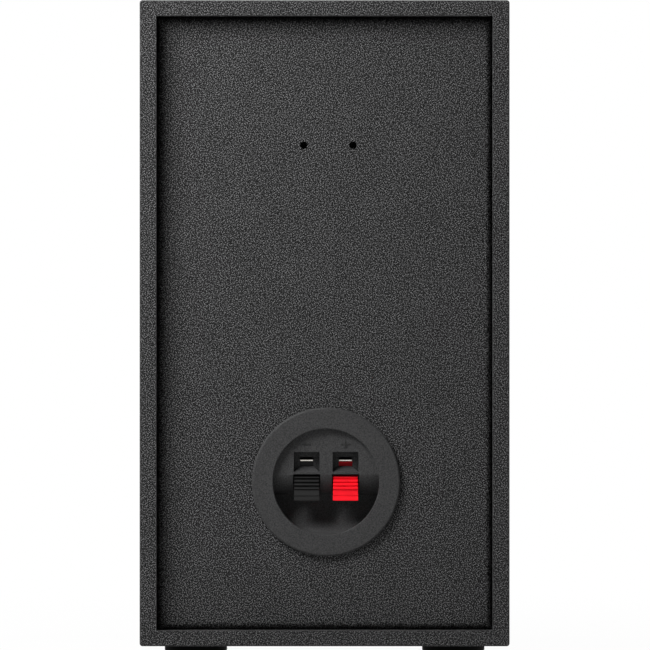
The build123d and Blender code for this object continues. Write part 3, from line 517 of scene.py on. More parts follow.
def laminate(name, color, fleck_color):
    """Resin board, such as a tag strip or a circuit board, with the cloth inside it showing."""
    thread_pitch = 0.0009
    thread_depth = 0.00001
    stain_size = 0.006
    finish = Finish(name)
    point = finish.point()
    warp, weft = [finish.ripple(finish.along(point, axis), thread_pitch) for axis in "XY"]
    cloth = warp * weft
    stain = finish.cloud(point, stain_size, detail=4.0)
    return finish.shade({
        "Base Color": finish.blend(0.35 * cloth + 0.5 * stain, opaque(color), opaque(fleck_color)),
        "Roughness": 0.32 + 0.3 * stain,
        "Normal": finish.relief(cloth, thread_depth),
    })


def shrink_sleeve():
    """The blue plastic sleeve of a capacitor, with a pale stripe along it."""
    dark_blue = (0.012, 0.03, 0.12, 1.0)
    light_blue = (0.03, 0.07, 0.22, 1.0)
    pale_grey = (0.6, 0.62, 0.66, 1.0)
    half_stripe = 0.0016
    wrinkle_size = 0.002
    wrinkle_depth = 0.00005
    finish = Finish("shrink_sleeve")
    point = finish.point()
    low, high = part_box("crossover_capacitor")
    middle = (low.x + high.x) / 2
    stripe = finish.within(finish.along(point, "X"), middle - half_stripe, middle + half_stripe)
    wrinkle = finish.cloud(point * (1.0, 0.3, 1.0), wrinkle_size, detail=3.0)
    sleeve = finish.blend(wrinkle, dark_blue, light_blue)
    return finish.shade({
        "Base Color": finish.blend(stripe, sleeve, pale_grey),
        "Roughness": 0.25 + 0.2 * wrinkle,
        "Normal": finish.relief(wrinkle, wrinkle_depth),
    })


def lead_insulation(name, color):
    """Flexible wire insulation with light scuffs."""
    scuff_size = 0.002
    scuff_depth = 0.00002
    finish = Finish(name)
    point = finish.point()
    scuff = finish.cloud(point, scuff_size, detail=4.0)
    return finish.shade({
        "Base Color": finish.blend(scuff, opaque(lighter(color, 0.8)), opaque(lighter(color, 1.3))),
        "Roughness": 0.35 + 0.25 * scuff,
        "Normal": finish.relief(scuff, scuff_depth),
    })


def grille_knit(settings):
    """Black knitted acoustic cloth: rows of small loops with dark gaps."""
    stitch = settings.stitch_size
    color = settings.cloth_color
    slub_size = 0.006
    loop_depth = 0.3 * stitch
    finish = Finish("grille_knit")
    point = finish.point()
    x, y, z = [finish.along(point, axis) for axis in "XYZ"]
    wale = finish.ripple(x + 0.5 * y, stitch)
    course = finish.ripple(z + 0.5 * y + 0.3 * stitch * wale, stitch)
    loop = wale * course
    slub = finish.cloud(point, slub_size, detail=3.0)
    yarn = 1.2 * loop + 0.3 * slub
    return finish.shade({
        "Base Color": finish.blend(yarn, opaque(lighter(color, 0.3)), opaque(lighter(color, 1.5))),
        "Roughness": 0.75 + 0.2 * slub,
        "Normal": finish.relief(loop, loop_depth),
        "Sheen Weight": 0.2,
        "Specular IOR Level": 0.2,
    })


def wadding_fibre():
    """White polyester wadding."""
    shaded_fibre = (0.62, 0.62, 0.59, 1.0)
    white_fibre = (0.86, 0.86, 0.83, 1.0)
    tuft_size = 0.004
    tuft_depth = 0.0008
    strand_size = 0.0006
    finish = Finish("wadding_fibre")
    point = finish.point()
    tuft = finish.cloud(point, tuft_size, detail=6.0)
    strand = finish.cloud(point * (1.0, 1.0, 0.2), strand_size, detail=4.0)
    return finish.shade({
        "Base Color": finish.blend(tuft, shaded_fibre, white_fibre),
        "Roughness": 0.85 + 0.1 * strand,
        "Normal": finish.relief(0.6 * tuft + 0.4 * strand, tuft_depth),
        "Sheen Weight": 0.3,
    })


# Meshes


def loft(name, rings, around=True, caps=()):
    """A smooth mesh with crisp corners through rings of points, closed round each ring and over the caps."""
    corner_angle = math.radians(60)
    mesh = bpy.data.meshes.new(name)
    shape = bmesh.new()
    rows = [[shape.verts.new(point) for point in ring] for ring in rings]
    count = len(rows[0])
    for near, far in zip(rows, rows[1:]):
        for index in range(count if around else count - 1):
            after = (index + 1) % count
            shape.faces.new((near[index], near[after], far[after], far[index]))
    for end in caps:
        shape.faces.new(rows[end])
    bmesh.ops.recalc_face_normals(shape, faces=shape.faces)
    corners = [edge for edge in shape.edges if edge.calc_face_angle(0.0) > corner_angle]
    bmesh.ops.split_edges(shape, edges=corners)
    shape.to_mesh(mesh)
    shape.free()
    mesh.shade_smooth()
    return mesh


def place(mesh, material, body):
    """A piece made from a mesh that is already in place, riding on a body if one is named."""
    piece = bpy.data.objects.new(mesh.name, mesh)
    bpy.context.scene.collection.objects.link(piece)
    mesh.materials.append(material)
    if body:
        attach(piece, body)
    return piece


def dress(material, *nodes):
    """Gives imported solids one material."""
    for name in nodes:
        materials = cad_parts[name].data.materials
        materials.clear()
        materials.append(material)


def soften_edges(width, *nodes):
    """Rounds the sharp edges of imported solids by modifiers, for their highlights."""
    split_gap = 1e-6
    sharp_angle = math.radians(35)
    for name in nodes:
        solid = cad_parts[name]
        weld = solid.modifiers.new("Join split corners", "WELD")
        weld.merge_threshold = split_gap
        bevel = solid.modifiers.new("Soft edges", "BEVEL")
        bevel.width = width
        bevel.segments = 2
        bevel.limit_method = "ANGLE"
        bevel.angle_limit = sharp_angle
        solid.modifiers.new("Even shading", "WEIGHTED_NORMAL")


def rounded_outline(width, height, corner, steps):
    """The X and Z of points round a rectangle with round corners, from its centre."""
    points = []
    for quarter, (side, end) in enumerate(((1, 1), (-1, 1), (-1, -1), (1, -1))):
        for step in range(steps + 1):
            angle = math.radians(90 * (quarter + step / steps))
            x = side * (width / 2 - corner) + corner * math.cos(angle)
            z = end * (height / 2 - corner) + corner * math.sin(angle)
            points.append((x, z))
    return points


def half_roll(inner, outer, lip_in, lip_out, thickness, seat):
    """The closed (radius, y) outline of a half roll that bulges to the front between two flat lips."""
    middle = (inner + outer) / 2
    large = (outer - inner + thickness) / 2
    small = large - thickness
    front = seat - thickness
    steps = 14
    turns = [math.pi * step / steps for step in range(steps + 1)]
    hollow = [(middle - small * math.cos(turn), seat - small * math.sin(turn)) for turn in turns]
    crown = [(middle + large * math.cos(turn), front - large * math.sin(turn)) for turn in turns]
    return [
        (inner - lip_in, seat), *hollow, (outer + lip_out, seat),
        (outer + lip_out, front), *crown, (inner - lip_in, front),
    ]


def pleats(inner, outer, wave, count, thickness, seat):
    """The closed (radius, y) outline of a pleated disc with a flat rim inside and outside."""
    steps_per_pleat = 10
    rim = 0.05 * (outer - inner)
    glue = 0.25 * (outer - inner)
    start = inner + rim
    end = outer - glue
    steps = steps_per_pleat * count
    back = [(inner, seat)]
    for step in range(steps + 1):
        share = step / steps
        lift = wave * (1 - math.cos(2 * math.pi * count * share)) / 2
        back.append((start + share * (end - start), seat - lift))
    back.append((outer, seat))
    front = [(radius, y - thickness) for radius, y in reversed(back)]
    return back + front


def turned_sector(name, outline, axis, first, last, steps):
    """Part of a ring about a line along Y, from its (radius, y) outline and two angles."""
    rings = []
    for step in range(steps + 1):
        angle = first + (last - first) * step / steps
        x = math.cos(angle)
        z = math.sin(angle)
        rings.append([(axis.x + radius * x, y, axis.z + radius * z) for radius, y in outline])
    return loft(name, rings, caps=(0, -1))


def flexing_ring(node, outline, fixed_radius, moving_radius, material):
    """A soft ring in sectors, each turned from the outline, in place of the imported ring."""
    sectors = 16
    steps = 6
    half = math.pi / sectors
    low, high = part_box(node)
    axis = (low + high) / 2
    for index in range(sectors):
        middle = 2 * half * index
        name = f"{node}_{index + 1:02d}"
        mesh = turned_sector(name, outline, axis, middle - half, middle + half, steps)
        sector = place(mesh, material, None)
        radial = Vector((math.cos(middle), 0, math.sin(middle)))
        start = axis + fixed_radius * math.cos(half) * radial
        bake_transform(sector)
        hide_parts(node)


def cross_outline(length, height, bar):
    """The X and Z of a plus sign's corners, from its centre."""
    x = length / 2
    z = height / 2
    half_bar = bar / 2
    corner = [(x, half_bar), (half_bar, half_bar), (half_bar, z)]
    outline = []
    for side, end in ((1, 1), (-1, 1), (-1, -1), (1, -1)):
        turn = 1 if side == end else -1
        outline += [(side * across, end * up) for across, up in corner[::turn]]
    return outline


def raised_mark(name, outline, centre, height):
    """A flat mark that stands a little proud of a face that looks to +Y, with a drawn-in top."""
    taper = 0.9
    sunk = -0.2 * height
    shoulder = 0.6 * height
    rings = []
    for share, lift in ((1.0, sunk), (1.0, shoulder), (taper, height)):
        rings.append([(centre.x + share * x, centre.y + lift, centre.z + share * z) for x, z in outline])
    mesh = loft(name, rings, caps=(0, -1))
    mesh.shade_flat()
    return mesh


# Settings


def color_setting(name, description, default):
    """A colour that a user may change."""
    return FloatVectorProperty(
        name=name, description=description, default=default, subtype="COLOR", size=3, min=0.0, max=1.0,
    )


def length_setting(name, description, default):
    """A length in metres that a user may change."""
    return FloatProperty(name=name, description=description, default=default, unit="LENGTH", precision=5)


def place_setting(name, description, default):
    """A place in metres that a user may change."""
    return FloatVectorProperty(
        name=name, description=description, default=default, subtype="XYZ", unit="LENGTH", size=3,
    )


def number_setting(name, description, default):
    """A plain number that a user may change."""
    return FloatProperty(name=name, description=description, default=default, min=0.0)


class CabinetSettings(bpy.types.PropertyGroup):
    """The cabinet's wrap, paint and feet."""

    # The flecks in these settings are painted highlights on the vinyl's grain; the vinyl's own colour is the
    # dark one.
    vinyl_color: color_setting("Vinyl", "Colour between the flecks of the vinyl", (0.00138, 0.00138, 0.0014))
    painted_glint_gain: number_setting("Flecks", "How much lighter the flecks of the vinyl are", 100.0)
    painted_glint_share: number_setting("Fleck share", "How far the flecks lighten the vinyl on the whole", 0.1)
    painted_glint_contrast: number_setting("Contrast", "How sharply the flecks stand out", 3.0)
    grain_size: length_setting("Grain size", "Width of one pebble of the vinyl's grain", 0.00045)
    grain_depth: length_setting("Grain depth", "Depth of the vinyl's grain", 0.00014)
    baffle_color: color_setting("Baffle", "Colour of the painted baffle", (0.02, 0.02, 0.02))
    foot_color: color_setting("Feet", "Colour of the rubber feet", (0.0015, 0.0015, 0.0015))


class TerminalSettings(bpy.types.PropertyGroup):
    """The terminal cup, its marks and its levers."""

    cup_color: color_setting("Cup", "Colour of the cup's plastic", (0.037, 0.037, 0.0375))
    cup_grain: length_setting("Cup grain", "Grain size of the cup's moulded texture", 0.0005)
    edge_round: length_setting("Edge round", "Rounding of the edges of the cup and the levers", 0.00012)
    # The marks' colour is darker than the cup's as painted shade; they are moulded in the same plastic.
    shaded_mark_color: color_setting("Marks", "Colour of the polarity marks", (0.022, 0.022, 0.022))
    mark_length: length_setting("Mark length", "Length of a polarity mark", 0.0037)
    mark_height: length_setting("Mark height", "Height of the plus sign", 0.003)
    mark_bar: length_setting("Mark bar", "Width of the marks' bars", 0.0008)
    mark_relief: length_setting("Mark relief", "How far the marks stand proud", 0.00015)
    mark_gap: length_setting("Mark gap", "From the middle of the cup up to the marks", 0.0152)
    plate_depth: length_setting("Plate depth", "From the ring's face in to the plate with the marks", 0.0025)
    red_color: color_setting("Positive lever", "Colour of the positive lever", (0.8, 0.008, 0.018))
    black_color: color_setting("Negative lever", "Colour of the negative lever", (0.004, 0.004, 0.004))


class DriverSettings(bpy.types.PropertyGroup):
    """The woofer, the tweeter and the port."""

    rubber_color: color_setting("Rubber", "Colour of the surround and the gasket", (0.018, 0.018, 0.018))
    cone_color: color_setting("Cone", "Colour of the paper cone", (0.02, 0.02, 0.021))
    roll_width: length_setting("Roll width", "Width of the woofer surround's half roll", 0.006)
    surround_lip: length_setting("Surround lip", "Width of the surround's flat lips", 0.0026)
    rubber_thickness: length_setting("Rubber thickness", "Thickness of the surround", 0.0008)
    winding: length_setting("Winding", "Thickness of the woofer coil's winding", 0.0006)
    spider_wave: length_setting("Spider pleat", "Height of the spider's pleats", 0.0012)
    spider_pleats: IntProperty(
        name="Spider pleats", description="Number of the spider's pleats", default=4, min=1,
    )
    spider_cloth: length_setting("Spider cloth", "Thickness of the spider's cloth", 0.0006)
    spider_color: color_setting("Spider", "Colour of the spider's cloth", (0.55, 0.36, 0.12))
    silk_color: color_setting("Dome", "Colour of the tweeter's coated silk", (0.02, 0.02, 0.023))
    silk_thickness: length_setting("Silk thickness", "Thickness of the tweeter's silk", 0.0004)
    silk_roll: length_setting("Silk roll", "Width of the tweeter surround's half roll", 0.0023)
    silk_lip: length_setting("Silk lip", "Width of the tweeter surround's outer lip", 0.0022)
    tag_color: color_setting("Tag strips", "Colour of the tag strips' resin board", (0.2, 0.1, 0.04))
    tag_fleck: color_setting("Tag flecks", "Colour of the cloth in the tag strips", (0.33, 0.19, 0.09))
    trim_color: color_setting("Trim", "Colour of the faceplate, the port and the pegs", (0.022, 0.022, 0.022))


class GrilleSettings(bpy.types.PropertyGroup):
    """The grille's cloth and frame."""

    cloth_color: color_setting("Cloth", "Colour of the knitted cloth", (0.022, 0.022, 0.023))
    stitch_size: length_setting("Stitch", "Pitch of the cloth's stitches", 0.0009)
    cloth_thickness: length_setting("Thickness", "Thickness of the cloth", 0.0006)
    wrap_radius: length_setting("Wrap", "Radius with which the cloth turns over the frame's edge", 0.0022)
    corner_radius: length_setting("Corner", "Radius of the grille's corners", 0.006)
    frame_color: color_setting("Frame", "Colour of the painted frame", (0.015, 0.015, 0.015))


class InsideSettings(bpy.types.PropertyGroup):
    """The crossover, the leads and the lining."""

    board_color: color_setting("Circuit board", "Colour of the circuit board", (0.05, 0.14, 0.04))
    red_lead: color_setting("Positive leads", "Colour of the positive leads", (0.42, 0.012, 0.012))
    black_lead: color_setting("Negative leads", "Colour of the negative leads", (0.015, 0.015, 0.015))
    tuft_size: length_setting("Tufts", "Width of the lumps of the wadding", 0.016)
    tuft_height: length_setting("Tuft height", "How much the lumps of the wadding vary", 0.0035)


class StageSettings(bpy.types.PropertyGroup):
    """The camera, the lamps and the floor."""

    camera_distance: length_setting("Camera", "From the cabinet's rear edge back to the camera", 3.0)
    view_width: length_setting("View", "Width of the view at the cabinet's rear edge", 0.2635)
    aim_x: length_setting("Aim across", "Sideways place of the view's middle", -0.00016)
    aim_z: length_setting("Aim up", "Height of the view's middle", 0.13326)
    key_power: number_setting("Key lamp", "Power of the soft box behind the speaker in watts", 6.4)
    key_size: length_setting("Key size", "Side of the square soft box", 0.3)
    key_across: length_setting("Key across", "From the rear panel's middle sideways to the soft box", 0.345)
    key_back: length_setting("Key back", "From the rear panel back to the soft box", 0.3)
    key_up: length_setting("Key up", "From the rear panel's middle up to the soft box", 0.38)
    fill_power: number_setting("Fill lamp", "Power of the weak lamp opposite the soft box in watts", 0.5)
    fill_size: length_setting("Fill size", "Side of the square fill lamp", 1.0)
    fill_place: place_setting("Fill place", "Place of the fill lamp", (-0.9, 1.4, 0.3))
    front_power: number_setting("Front lamps", "Power of each lamp for the front and sides in watts", 14.0)
    front_size: length_setting("Front size", "Side of each square lamp for the front and sides", 0.8)
    front_place: place_setting("Front place", "Place of the lamp for the front", (0.6, -0.95, 0.75))
    side_place: place_setting("Side place", "Place of the lamp for the sides", (-1.1, -0.15, 0.7))
    ambient: number_setting("Ambient", "Strength of the light from all round", 0.03)
    floor_size: length_setting("Floor", "Width of the floor", 8.0)
    shadow_start: length_setting("Shadow start", "Distance at which the floor's shadow begins to fade", 0.15)
    shadow_reach: length_setting("Shadow reach", "Distance at which the floor is plain white", 0.6)
    floor_color: color_setting("Floor colour", "Colour of the floor", (0.5, 0.5, 0.5))
    floor_white: FloatProperty(
        name="Floor white",
        description="Share of plain white in the floor that the camera sees by the speaker",
        default=0.975, subtype="FACTOR", min=0.0, max=1.0,
    )


# Pieces


class SPEAKER_OT_cabinet(bpy.types.Operator):
    """Wraps the boards and the rear panel in vinyl, and finishes the baffle and the glue blocks"""

    bl_idname = "speaker.cabinet"
    bl_label = "Cabinet"

    def execute(self, context):
        settings = context.scene.speaker_cabinet
        boards = ("left_side", "right_side", "top_board", "bottom_board")
        dress(pebble_vinyl(settings), *boards, "rear_panel")
        dress(painted_board("baffle_paint", settings.baffle_color), "front_baffle")
        dress(raw_wood(), "corner_blocks")
        return {"FINISHED"}


class SPEAKER_OT_feet(bpy.types.Operator):
    """Finishes the rubber feet"""

    bl_idname = "speaker.feet"
    bl_label = "Feet"

    def execute(self, context):
        color = context.scene.speaker_cabinet.foot_color
        dress(rubber("foot_rubber", color, grain_size=0.0008), "feet")
        return {"FINISHED"}


class SPEAKER_OT_terminal_cup(bpy.types.Operator):
    """Finishes the terminal cup, its cover and the contact strips"""

    bl_idname = "speaker.terminal_cup"
    bl_label = "Terminal cup"

    def execute(self, context):
        settings = context.scene.speaker_terminals
        cup = moulded_plastic("cup_plastic", settings.cup_color, settings.cup_grain)
        dress(cup, "terminal_cup", "terminal_back")
        soften_edges(settings.edge_round, "terminal_cup")
        dress(bright_contact(), "negative_contact", "positive_contact")
        return {"FINISHED"}


class SPEAKER_OT_polarity_marks(bpy.types.Operator):
    """Adds the minus and plus signs above the wire funnels"""

    bl_idname = "speaker.polarity_marks"
    bl_label = "Polarity marks"

    def execute(self, context):
        settings = context.scene.speaker_terminals
        grain = settings.cup_grain
        # Painted shade: the marks are moulded in the cup's plastic but given a darker colour, standing in for
        # the shade they show.
        material = moulded_plastic("mark_plastic", settings.shaded_mark_color, grain, grain_depth=0.00001)
        bar = settings.mark_bar
        outlines = {
            "negative": rounded_outline(settings.mark_length, bar, corner=bar / 3, steps=3),
            "positive": cross_outline(settings.mark_length, settings.mark_height, bar),
        }
        low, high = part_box("terminal_cup")
        for name, outline in outlines.items():
            lever_low, lever_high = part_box(name + "_lever")
            centre = Vector((
                (lever_low.x + lever_high.x) / 2,
                high.y - settings.plate_depth,
                (low.z + high.z) / 2 + settings.mark_gap,
            ))
            mesh = raised_mark(name + "_mark", outline, centre, settings.mark_relief)
            place(mesh, material, "cabinet")
        return {"FINISHED"}


class SPEAKER_OT_levers(bpy.types.Operator):
    """Finishes the two spring-clip levers"""

    bl_idname = "speaker.levers"
    bl_label = "Levers"

    def execute(self, context):
        settings = context.scene.speaker_terminals
        black = lever_plastic("lever_black", settings.black_color, roughness=0.4, gloss=0.2)
        red = lever_plastic("lever_red", settings.red_color, roughness=0.3, gloss=0.12)
        dress(black, "negative_lever")
        dress(red, "positive_lever")
        soften_edges(settings.edge_round, "negative_lever", "positive_lever")
        return {"FINISHED"}


class SPEAKER_OT_woofer(bpy.types.Operator):
    """Finishes the woofer, and makes its surround and spider as rings in sectors"""

    bl_idname = "speaker.woofer"
    bl_label = "Woofer"

    def execute(self, context):
        settings = context.scene.speaker_drivers
        dress(painted_steel(), "woofer_basket", "woofer_screws", "tweeter_screws")
        dress(paper_pulp(settings.cone_color), "woofer_cone", "woofer_dust_cap")
        dress(plated_steel(), "woofer_top_plate", "woofer_yoke", "tweeter_top_plate", "tweeter_yoke")
        dress(ferrite(), "woofer_magnet", "tweeter_magnet")
        winding = enamelled_winding("coil_winding", axis="Y", pitch=0.0005)
        dress(winding, "woofer_voice_coil", "tweeter_voice_coil")
        tag_board = laminate("tag_board", settings.tag_color, settings.tag_fleck)
        dress(tag_board, "woofer_tag_strip", "tweeter_tag_strip")
        surround_rubber = rubber("surround_rubber", settings.rubber_color, grain_size=0.0005)
        dress(surround_rubber, "woofer_gasket")
        self.make_surround(settings, surround_rubber)
        self.make_spider(settings)
        return {"FINISHED"}

    def make_surround(self, settings, material):
        """A rubber half roll with a flat lip on each side."""
        low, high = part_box("woofer_surround")
        outer = (high.x - low.x) / 2 - settings.surround_lip
        inner = outer - settings.roll_width
        lip = settings.surround_lip
        outline = half_roll(inner, outer, lip, lip, settings.rubber_thickness, high.y)
        flexing_ring("woofer_surround", outline, outer, inner, material)

    def make_spider(self, settings):
        """A pleated cloth disc between the voice coil and the basket, where its rim is glued down."""
        glue_share = 0.2
        low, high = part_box("woofer_spider")
        coil_low, coil_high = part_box("woofer_voice_coil")
        outer = (high.x - low.x) / 2
        inner = (coil_high.x - coil_low.x) / 2 - settings.winding
        wave = settings.spider_wave
        outline = pleats(inner, outer, wave, settings.spider_pleats, settings.spider_cloth, high.y)
        material = stiffened_weave("spider_cloth", settings.spider_color, pitch=0.0008, depth=0.00015)
        glued = outer - glue_share * (outer - inner)
        flexing_ring("woofer_spider", outline, glued, inner + wave, material)


class SPEAKER_OT_tweeter(bpy.types.Operator):
    """Finishes the tweeter, and makes its surround as a ring in sectors"""

    bl_idname = "speaker.tweeter"
    bl_label = "Tweeter"

    def execute(self, context):
        settings = context.scene.speaker_drivers
        silk = stiffened_weave("dome_silk", settings.silk_color, pitch=0.0004, depth=0.00003)
        plastic = moulded_plastic("faceplate_plastic", settings.trim_color, grain_size=0.0005)
        dress(plastic, "tweeter_faceplate")
        dress(silk, "tweeter_dome")
        low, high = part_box("tweeter_surround")
        outer = (high.x - low.x) / 2 - settings.silk_lip
        inner = outer - settings.silk_roll
        thickness = settings.silk_thickness
        outline = half_roll(inner, outer, thickness, settings.silk_lip, thickness, high.y)
        flexing_ring("tweeter_surround", outline, outer, inner, silk)
        return {"FINISHED"}


class SPEAKER_OT_port(bpy.types.Operator):
    """Finishes the port tube"""

    bl_idname = "speaker.port"
    bl_label = "Port"

    def execute(self, context):
        color = context.scene.speaker_drivers.trim_color
        dress(moulded_plastic("port_plastic", color, grain_size=0.0006), "port_tube")
        return {"FINISHED"}


class SPEAKER_OT_grille(bpy.types.Operator):
    """Finishes the grille's frame, and stretches its knitted cloth over it"""

    bl_idname = "speaker.grille"
    bl_label = "Grille"

    def execute(self, context):
        settings = context.scene.speaker_grille
        trim_color = context.scene.speaker_drivers.trim_color
        dress(painted_board("grille_paint", settings.frame_color), "grille_frame")
        dress(moulded_plastic("peg_plastic", trim_color, grain_size=0.0005), "grille_pegs")
        dress(rubber("socket_rubber", settings.frame_color, grain_size=0.0005), "grille_sockets")
        self.stretch_cloth(settings)
        return {"FINISHED"}

    def stretch_cloth(self, settings):
        """The cloth over the frame's front, with a skirt that turns back over its edges."""
        wrap_steps = 6
        low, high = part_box("grille_cloth")
        width = high.x - low.x
        height = high.z - low.z
        wrap = settings.wrap_radius
        middle_z = (low.z + high.z) / 2
        turns = [math.radians(90 * step / wrap_steps) for step in range(wrap_steps + 1)]
        rows = [(0.0, high.y), (0.0, (low.y + high.y) / 2)]
        rows += [(wrap * (1 - math.cos(turn)), low.y + wrap * (1 - math.sin(turn))) for turn in turns]
        rings = []
        for inset, y in rows:
            corner = settings.corner_radius - inset
            outline = rounded_outline(width - 2 * inset, height - 2 * inset, corner, steps=8)
            rings.append([(x, y, middle_z + z) for x, z in outline])
        mesh = loft("grille_knit", rings, caps=(-1,))
        cloth = place(mesh, grille_knit(settings), "grille")
        thicken = cloth.modifiers.new("Cloth thickness", "SOLIDIFY")
        thicken.thickness = settings.cloth_thickness
        thicken.offset = -1
        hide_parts("grille_cloth")


class SPEAKER_OT_crossover(bpy.types.Operator):
    """Finishes the crossover board and what is on it"""

    bl_idname = "speaker.crossover"
    bl_label = "Crossover"

    def execute(self, context):
        color = context.scene.speaker_inside.board_color
        trim_color = context.scene.speaker_drivers.trim_color
        dress(laminate("circuit_board", color, lighter(color, 1.6)), "crossover_board")
        dress(moulded_plastic("spacer_plastic", trim_color, grain_size=0.0006), "crossover_spacers")
        dress(shrink_sleeve(), "crossover_capacitor")
        dress(enamelled_winding("inductor_winding", axis="Z", pitch=0.0012), "crossover_inductor")
        return {"FINISHED"}


class SPEAKER_OT_leads(bpy.types.Operator):
    """Finishes the inner leads"""

    bl_idname = "speaker.leads"
    bl_label = "Leads"

    def execute(self, context):
        settings = context.scene.speaker_inside
        dress(lead_insulation("lead_red", settings.red_lead), "positive_leads")
        dress(lead_insulation("lead_black", settings.black_lead), "negative_leads")
        return {"FINISHED"}


class SPEAKER_OT_lining(bpy.types.Operator):
    """Makes the lumpy wadding that lines the rear panel"""

    bl_idname = "speaker.lining"
    bl_label = "Lining"

    def execute(self, context):
        settings = context.scene.speaker_inside
        low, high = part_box("damping_pad")
        columns = 36
        rows = 56
        rings = []
        for row in range(rows + 1):
            z = low.z + (high.z - low.z) * row / rows
            ring = []
            for column in range(columns + 1):
                x = low.x + (high.x - low.x) * column / columns
                ring.append((x, high.y - self.thickness(settings, low, high, x, z), z))
            rings.append([(low.x, high.y, z), *ring, (high.x, high.y, z)])
        mesh = loft("lining_wadding", rings, caps=(0, -1))
        wadding = place(mesh, wadding_fibre(), "cabinet")
        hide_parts("damping_pad")
        return {"FINISHED"}

    def thickness(self, settings, low, high, x, z):
        """How thick the wadding is at a place: rounded at its rim, lumpy over the rest."""
        rim_drop = 0.7
        side_power = 10
        end_power = 14
        lump_fade = 0.8
        lump_ratio = 2.0
        lump_layers = 4
        full = high.y - low.y - settings.tuft_height
        across = abs(2 * (x - low.x) / (high.x - low.x) - 1)
        upright = abs(2 * (z - low.z) / (high.z - low.z) - 1)
        crown = (1 - rim_drop * across**side_power) * (1 - rim_drop * upright**end_power)
        place_on_pad = Vector((x, 0, z)) / settings.tuft_size
        lumps = noise.fractal(place_on_pad, lump_fade, lump_ratio, lump_layers)
        return crown * (full + settings.tuft_height * max(-1.0, min(1.0, lumps)))


# Stage


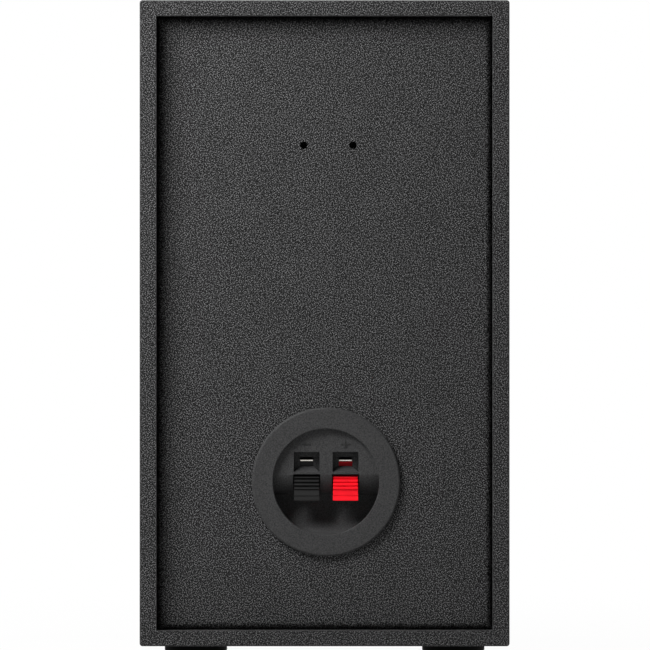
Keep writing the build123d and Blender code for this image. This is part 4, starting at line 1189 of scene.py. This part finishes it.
class SPEAKER_OT_stage(bpy.types.Operator):
    """Sets up the pale floor, the white surroundings, the lamps and the camera"""

    bl_idname = "speaker.stage"
    bl_label = "Stage"

    def execute(self, context):
        settings = context.scene.speaker_stage
        context.scene.view_settings.view_transform = "Standard"
        self.lay_floor(settings)
        self.set_surroundings(context.scene, settings)
        self.hang_lamps(settings)
        self.set_camera(context.scene, settings)
        return {"FINISHED"}

    def lay_floor(self, settings):
        """A floor that is white to the camera, with some of the shadow left beside the speaker."""
        half = settings.floor_size / 2
        rings = [[(-half, y, 0), (half, y, 0)] for y in (-half, half)]
        floor = bpy.data.objects.new("floor", loft("floor", rings, around=False))
        bpy.context.scene.collection.objects.link(floor)
        material = bpy.data.materials.new("pale_floor")
        material.use_nodes = True
        tree = ShaderTree(material.node_tree)
        color = opaque(settings.floor_color)
        matt = tree.node("ShaderNodeBsdfDiffuse", {}, {"Color": color}, "BSDF")
        white = tree.node("ShaderNodeEmission", {}, {"Strength": 1.0}, "Emission")
        point = tree.node("ShaderNodeTexCoord", {}, {}, "Object")
        distance = tree.node("ShaderNodeVectorMath", {"operation": "LENGTH"}, {"Vector": point}, "Value")
        whitening = (1 - settings.floor_white) / (settings.shadow_reach - settings.shadow_start)
        share = settings.floor_white + whitening * tree.math("MAXIMUM", 0.0, distance - settings.shadow_start)
        share = tree.math("MINIMUM", 1.0, share) * tree.seen_directly()
        inputs = {"Fac": share, "Shader": matt, "Shader_001": white}
        tree.surface(tree.node("ShaderNodeMixShader", {}, inputs, "Shader"))
        floor.data.materials.append(material)

    def set_surroundings(self, scene, settings):
        """Surroundings that are white to the camera and in reflections, and give only dim light."""
        scene.world = bpy.data.worlds.new("white_surroundings")
        scene.world.use_nodes = True
        tree = ShaderTree(scene.world.node_tree)
        white = (1.0, 1.0, 1.0, 1.0)
        glow = {"Color": white, "Strength": settings.ambient}
        dim = tree.node("ShaderNodeBackground", {}, glow, "Background")
        plain = tree.node("ShaderNodeBackground", {}, {"Color": white, "Strength": 1.0}, "Background")
        inputs = {"Fac": tree.seen_directly(), "Shader": dim, "Shader_001": plain}
        tree.surface(tree.node("ShaderNodeMixShader", {}, inputs, "Shader"))

    def hang_lamps(self, settings):
        """A soft box above and to one side of the rear panel, a weak fill, and lamps for the other sides."""
        low, high = solid_box
        middle = (low + high) / 2
        panel = Vector((middle.x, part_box("rear_panel")[1].y, middle.z))
        key = panel + Vector((settings.key_across, settings.key_back, settings.key_up))
        self.hang("key_lamp", key, panel, settings.key_power, settings.key_size)
        self.hang("rear_fill_lamp", settings.fill_place, panel, settings.fill_power, settings.fill_size)
        self.hang("front_lamp", settings.front_place, middle, settings.front_power, settings.front_size)
        self.hang("side_lamp", settings.side_place, middle, settings.front_power, settings.front_size)

    def hang(self, name, position, target, power, size):
        """A square lamp that looks at a target, and that the camera doesn't see."""
        light = bpy.data.lights.new(name, "AREA")
        light.size = size
        light.energy = power
        lamp = bpy.data.objects.new(name, light)
        lamp.location = position
        lamp.rotation_euler = (target - position).to_track_quat("-Z", "Y").to_euler()
        lamp.visible_camera = False
        bpy.context.scene.collection.objects.link(lamp)

    def set_camera(self, scene, settings):
        """A level camera straight behind the speaker."""
        lens = bpy.data.cameras.new("camera")
        lens.lens = lens.sensor_width * settings.camera_distance / settings.view_width
        lens.clip_end = 50.0
        camera = bpy.data.objects.new("camera", lens)
        rear_edge = solid_box[1].y
        camera.location = (settings.aim_x, rear_edge + settings.camera_distance, settings.aim_z)
        camera.rotation_euler = (math.radians(90), 0, math.radians(180))
        scene.collection.objects.link(camera)
        scene.camera = camera


# Panel and registration


OPERATORS = (
    SPEAKER_OT_cabinet, SPEAKER_OT_feet, SPEAKER_OT_terminal_cup, SPEAKER_OT_polarity_marks,
    SPEAKER_OT_levers, SPEAKER_OT_woofer, SPEAKER_OT_tweeter, SPEAKER_OT_port, SPEAKER_OT_grille,
    SPEAKER_OT_crossover, SPEAKER_OT_leads, SPEAKER_OT_lining, SPEAKER_OT_stage,
)

SETTINGS = {
    "speaker_cabinet": CabinetSettings,
    "speaker_terminals": TerminalSettings,
    "speaker_drivers": DriverSettings,
    "speaker_grille": GrilleSettings,
    "speaker_inside": InsideSettings,
    "speaker_stage": StageSettings,
}


class SPEAKER_PT_pieces(bpy.types.Panel):
    """Lists the speaker's pieces and their settings"""

    bl_label = "Bookshelf speaker"
    bl_space_type = "VIEW_3D"
    bl_region_type = "UI"
    bl_category = "Speaker"

    def draw(self, context):
        for operator in OPERATORS:
            self.layout.operator(operator.bl_idname)
        for name, group in SETTINGS.items():
            box = self.layout.box()
            for setting in group.__annotations__:
                box.prop(getattr(context.scene, name), setting)


def register():
    for group in (*SETTINGS.values(), *OPERATORS, SPEAKER_PT_pieces):
        bpy.utils.register_class(group)
    for name, group in SETTINGS.items():
        setattr(bpy.types.Scene, name, PointerProperty(type=group))


def unregister():
    for name in SETTINGS:
        delattr(bpy.types.Scene, name)
    for group in (SPEAKER_PT_pieces, *reversed(OPERATORS), *reversed(SETTINGS.values())):
        bpy.utils.unregister_class(group)


def main():
    register()
    for operator in OPERATORS:
        group, name = operator.bl_idname.split(".")
        getattr(getattr(bpy.ops, group), name)()


if __name__ == "__main__":
    main()
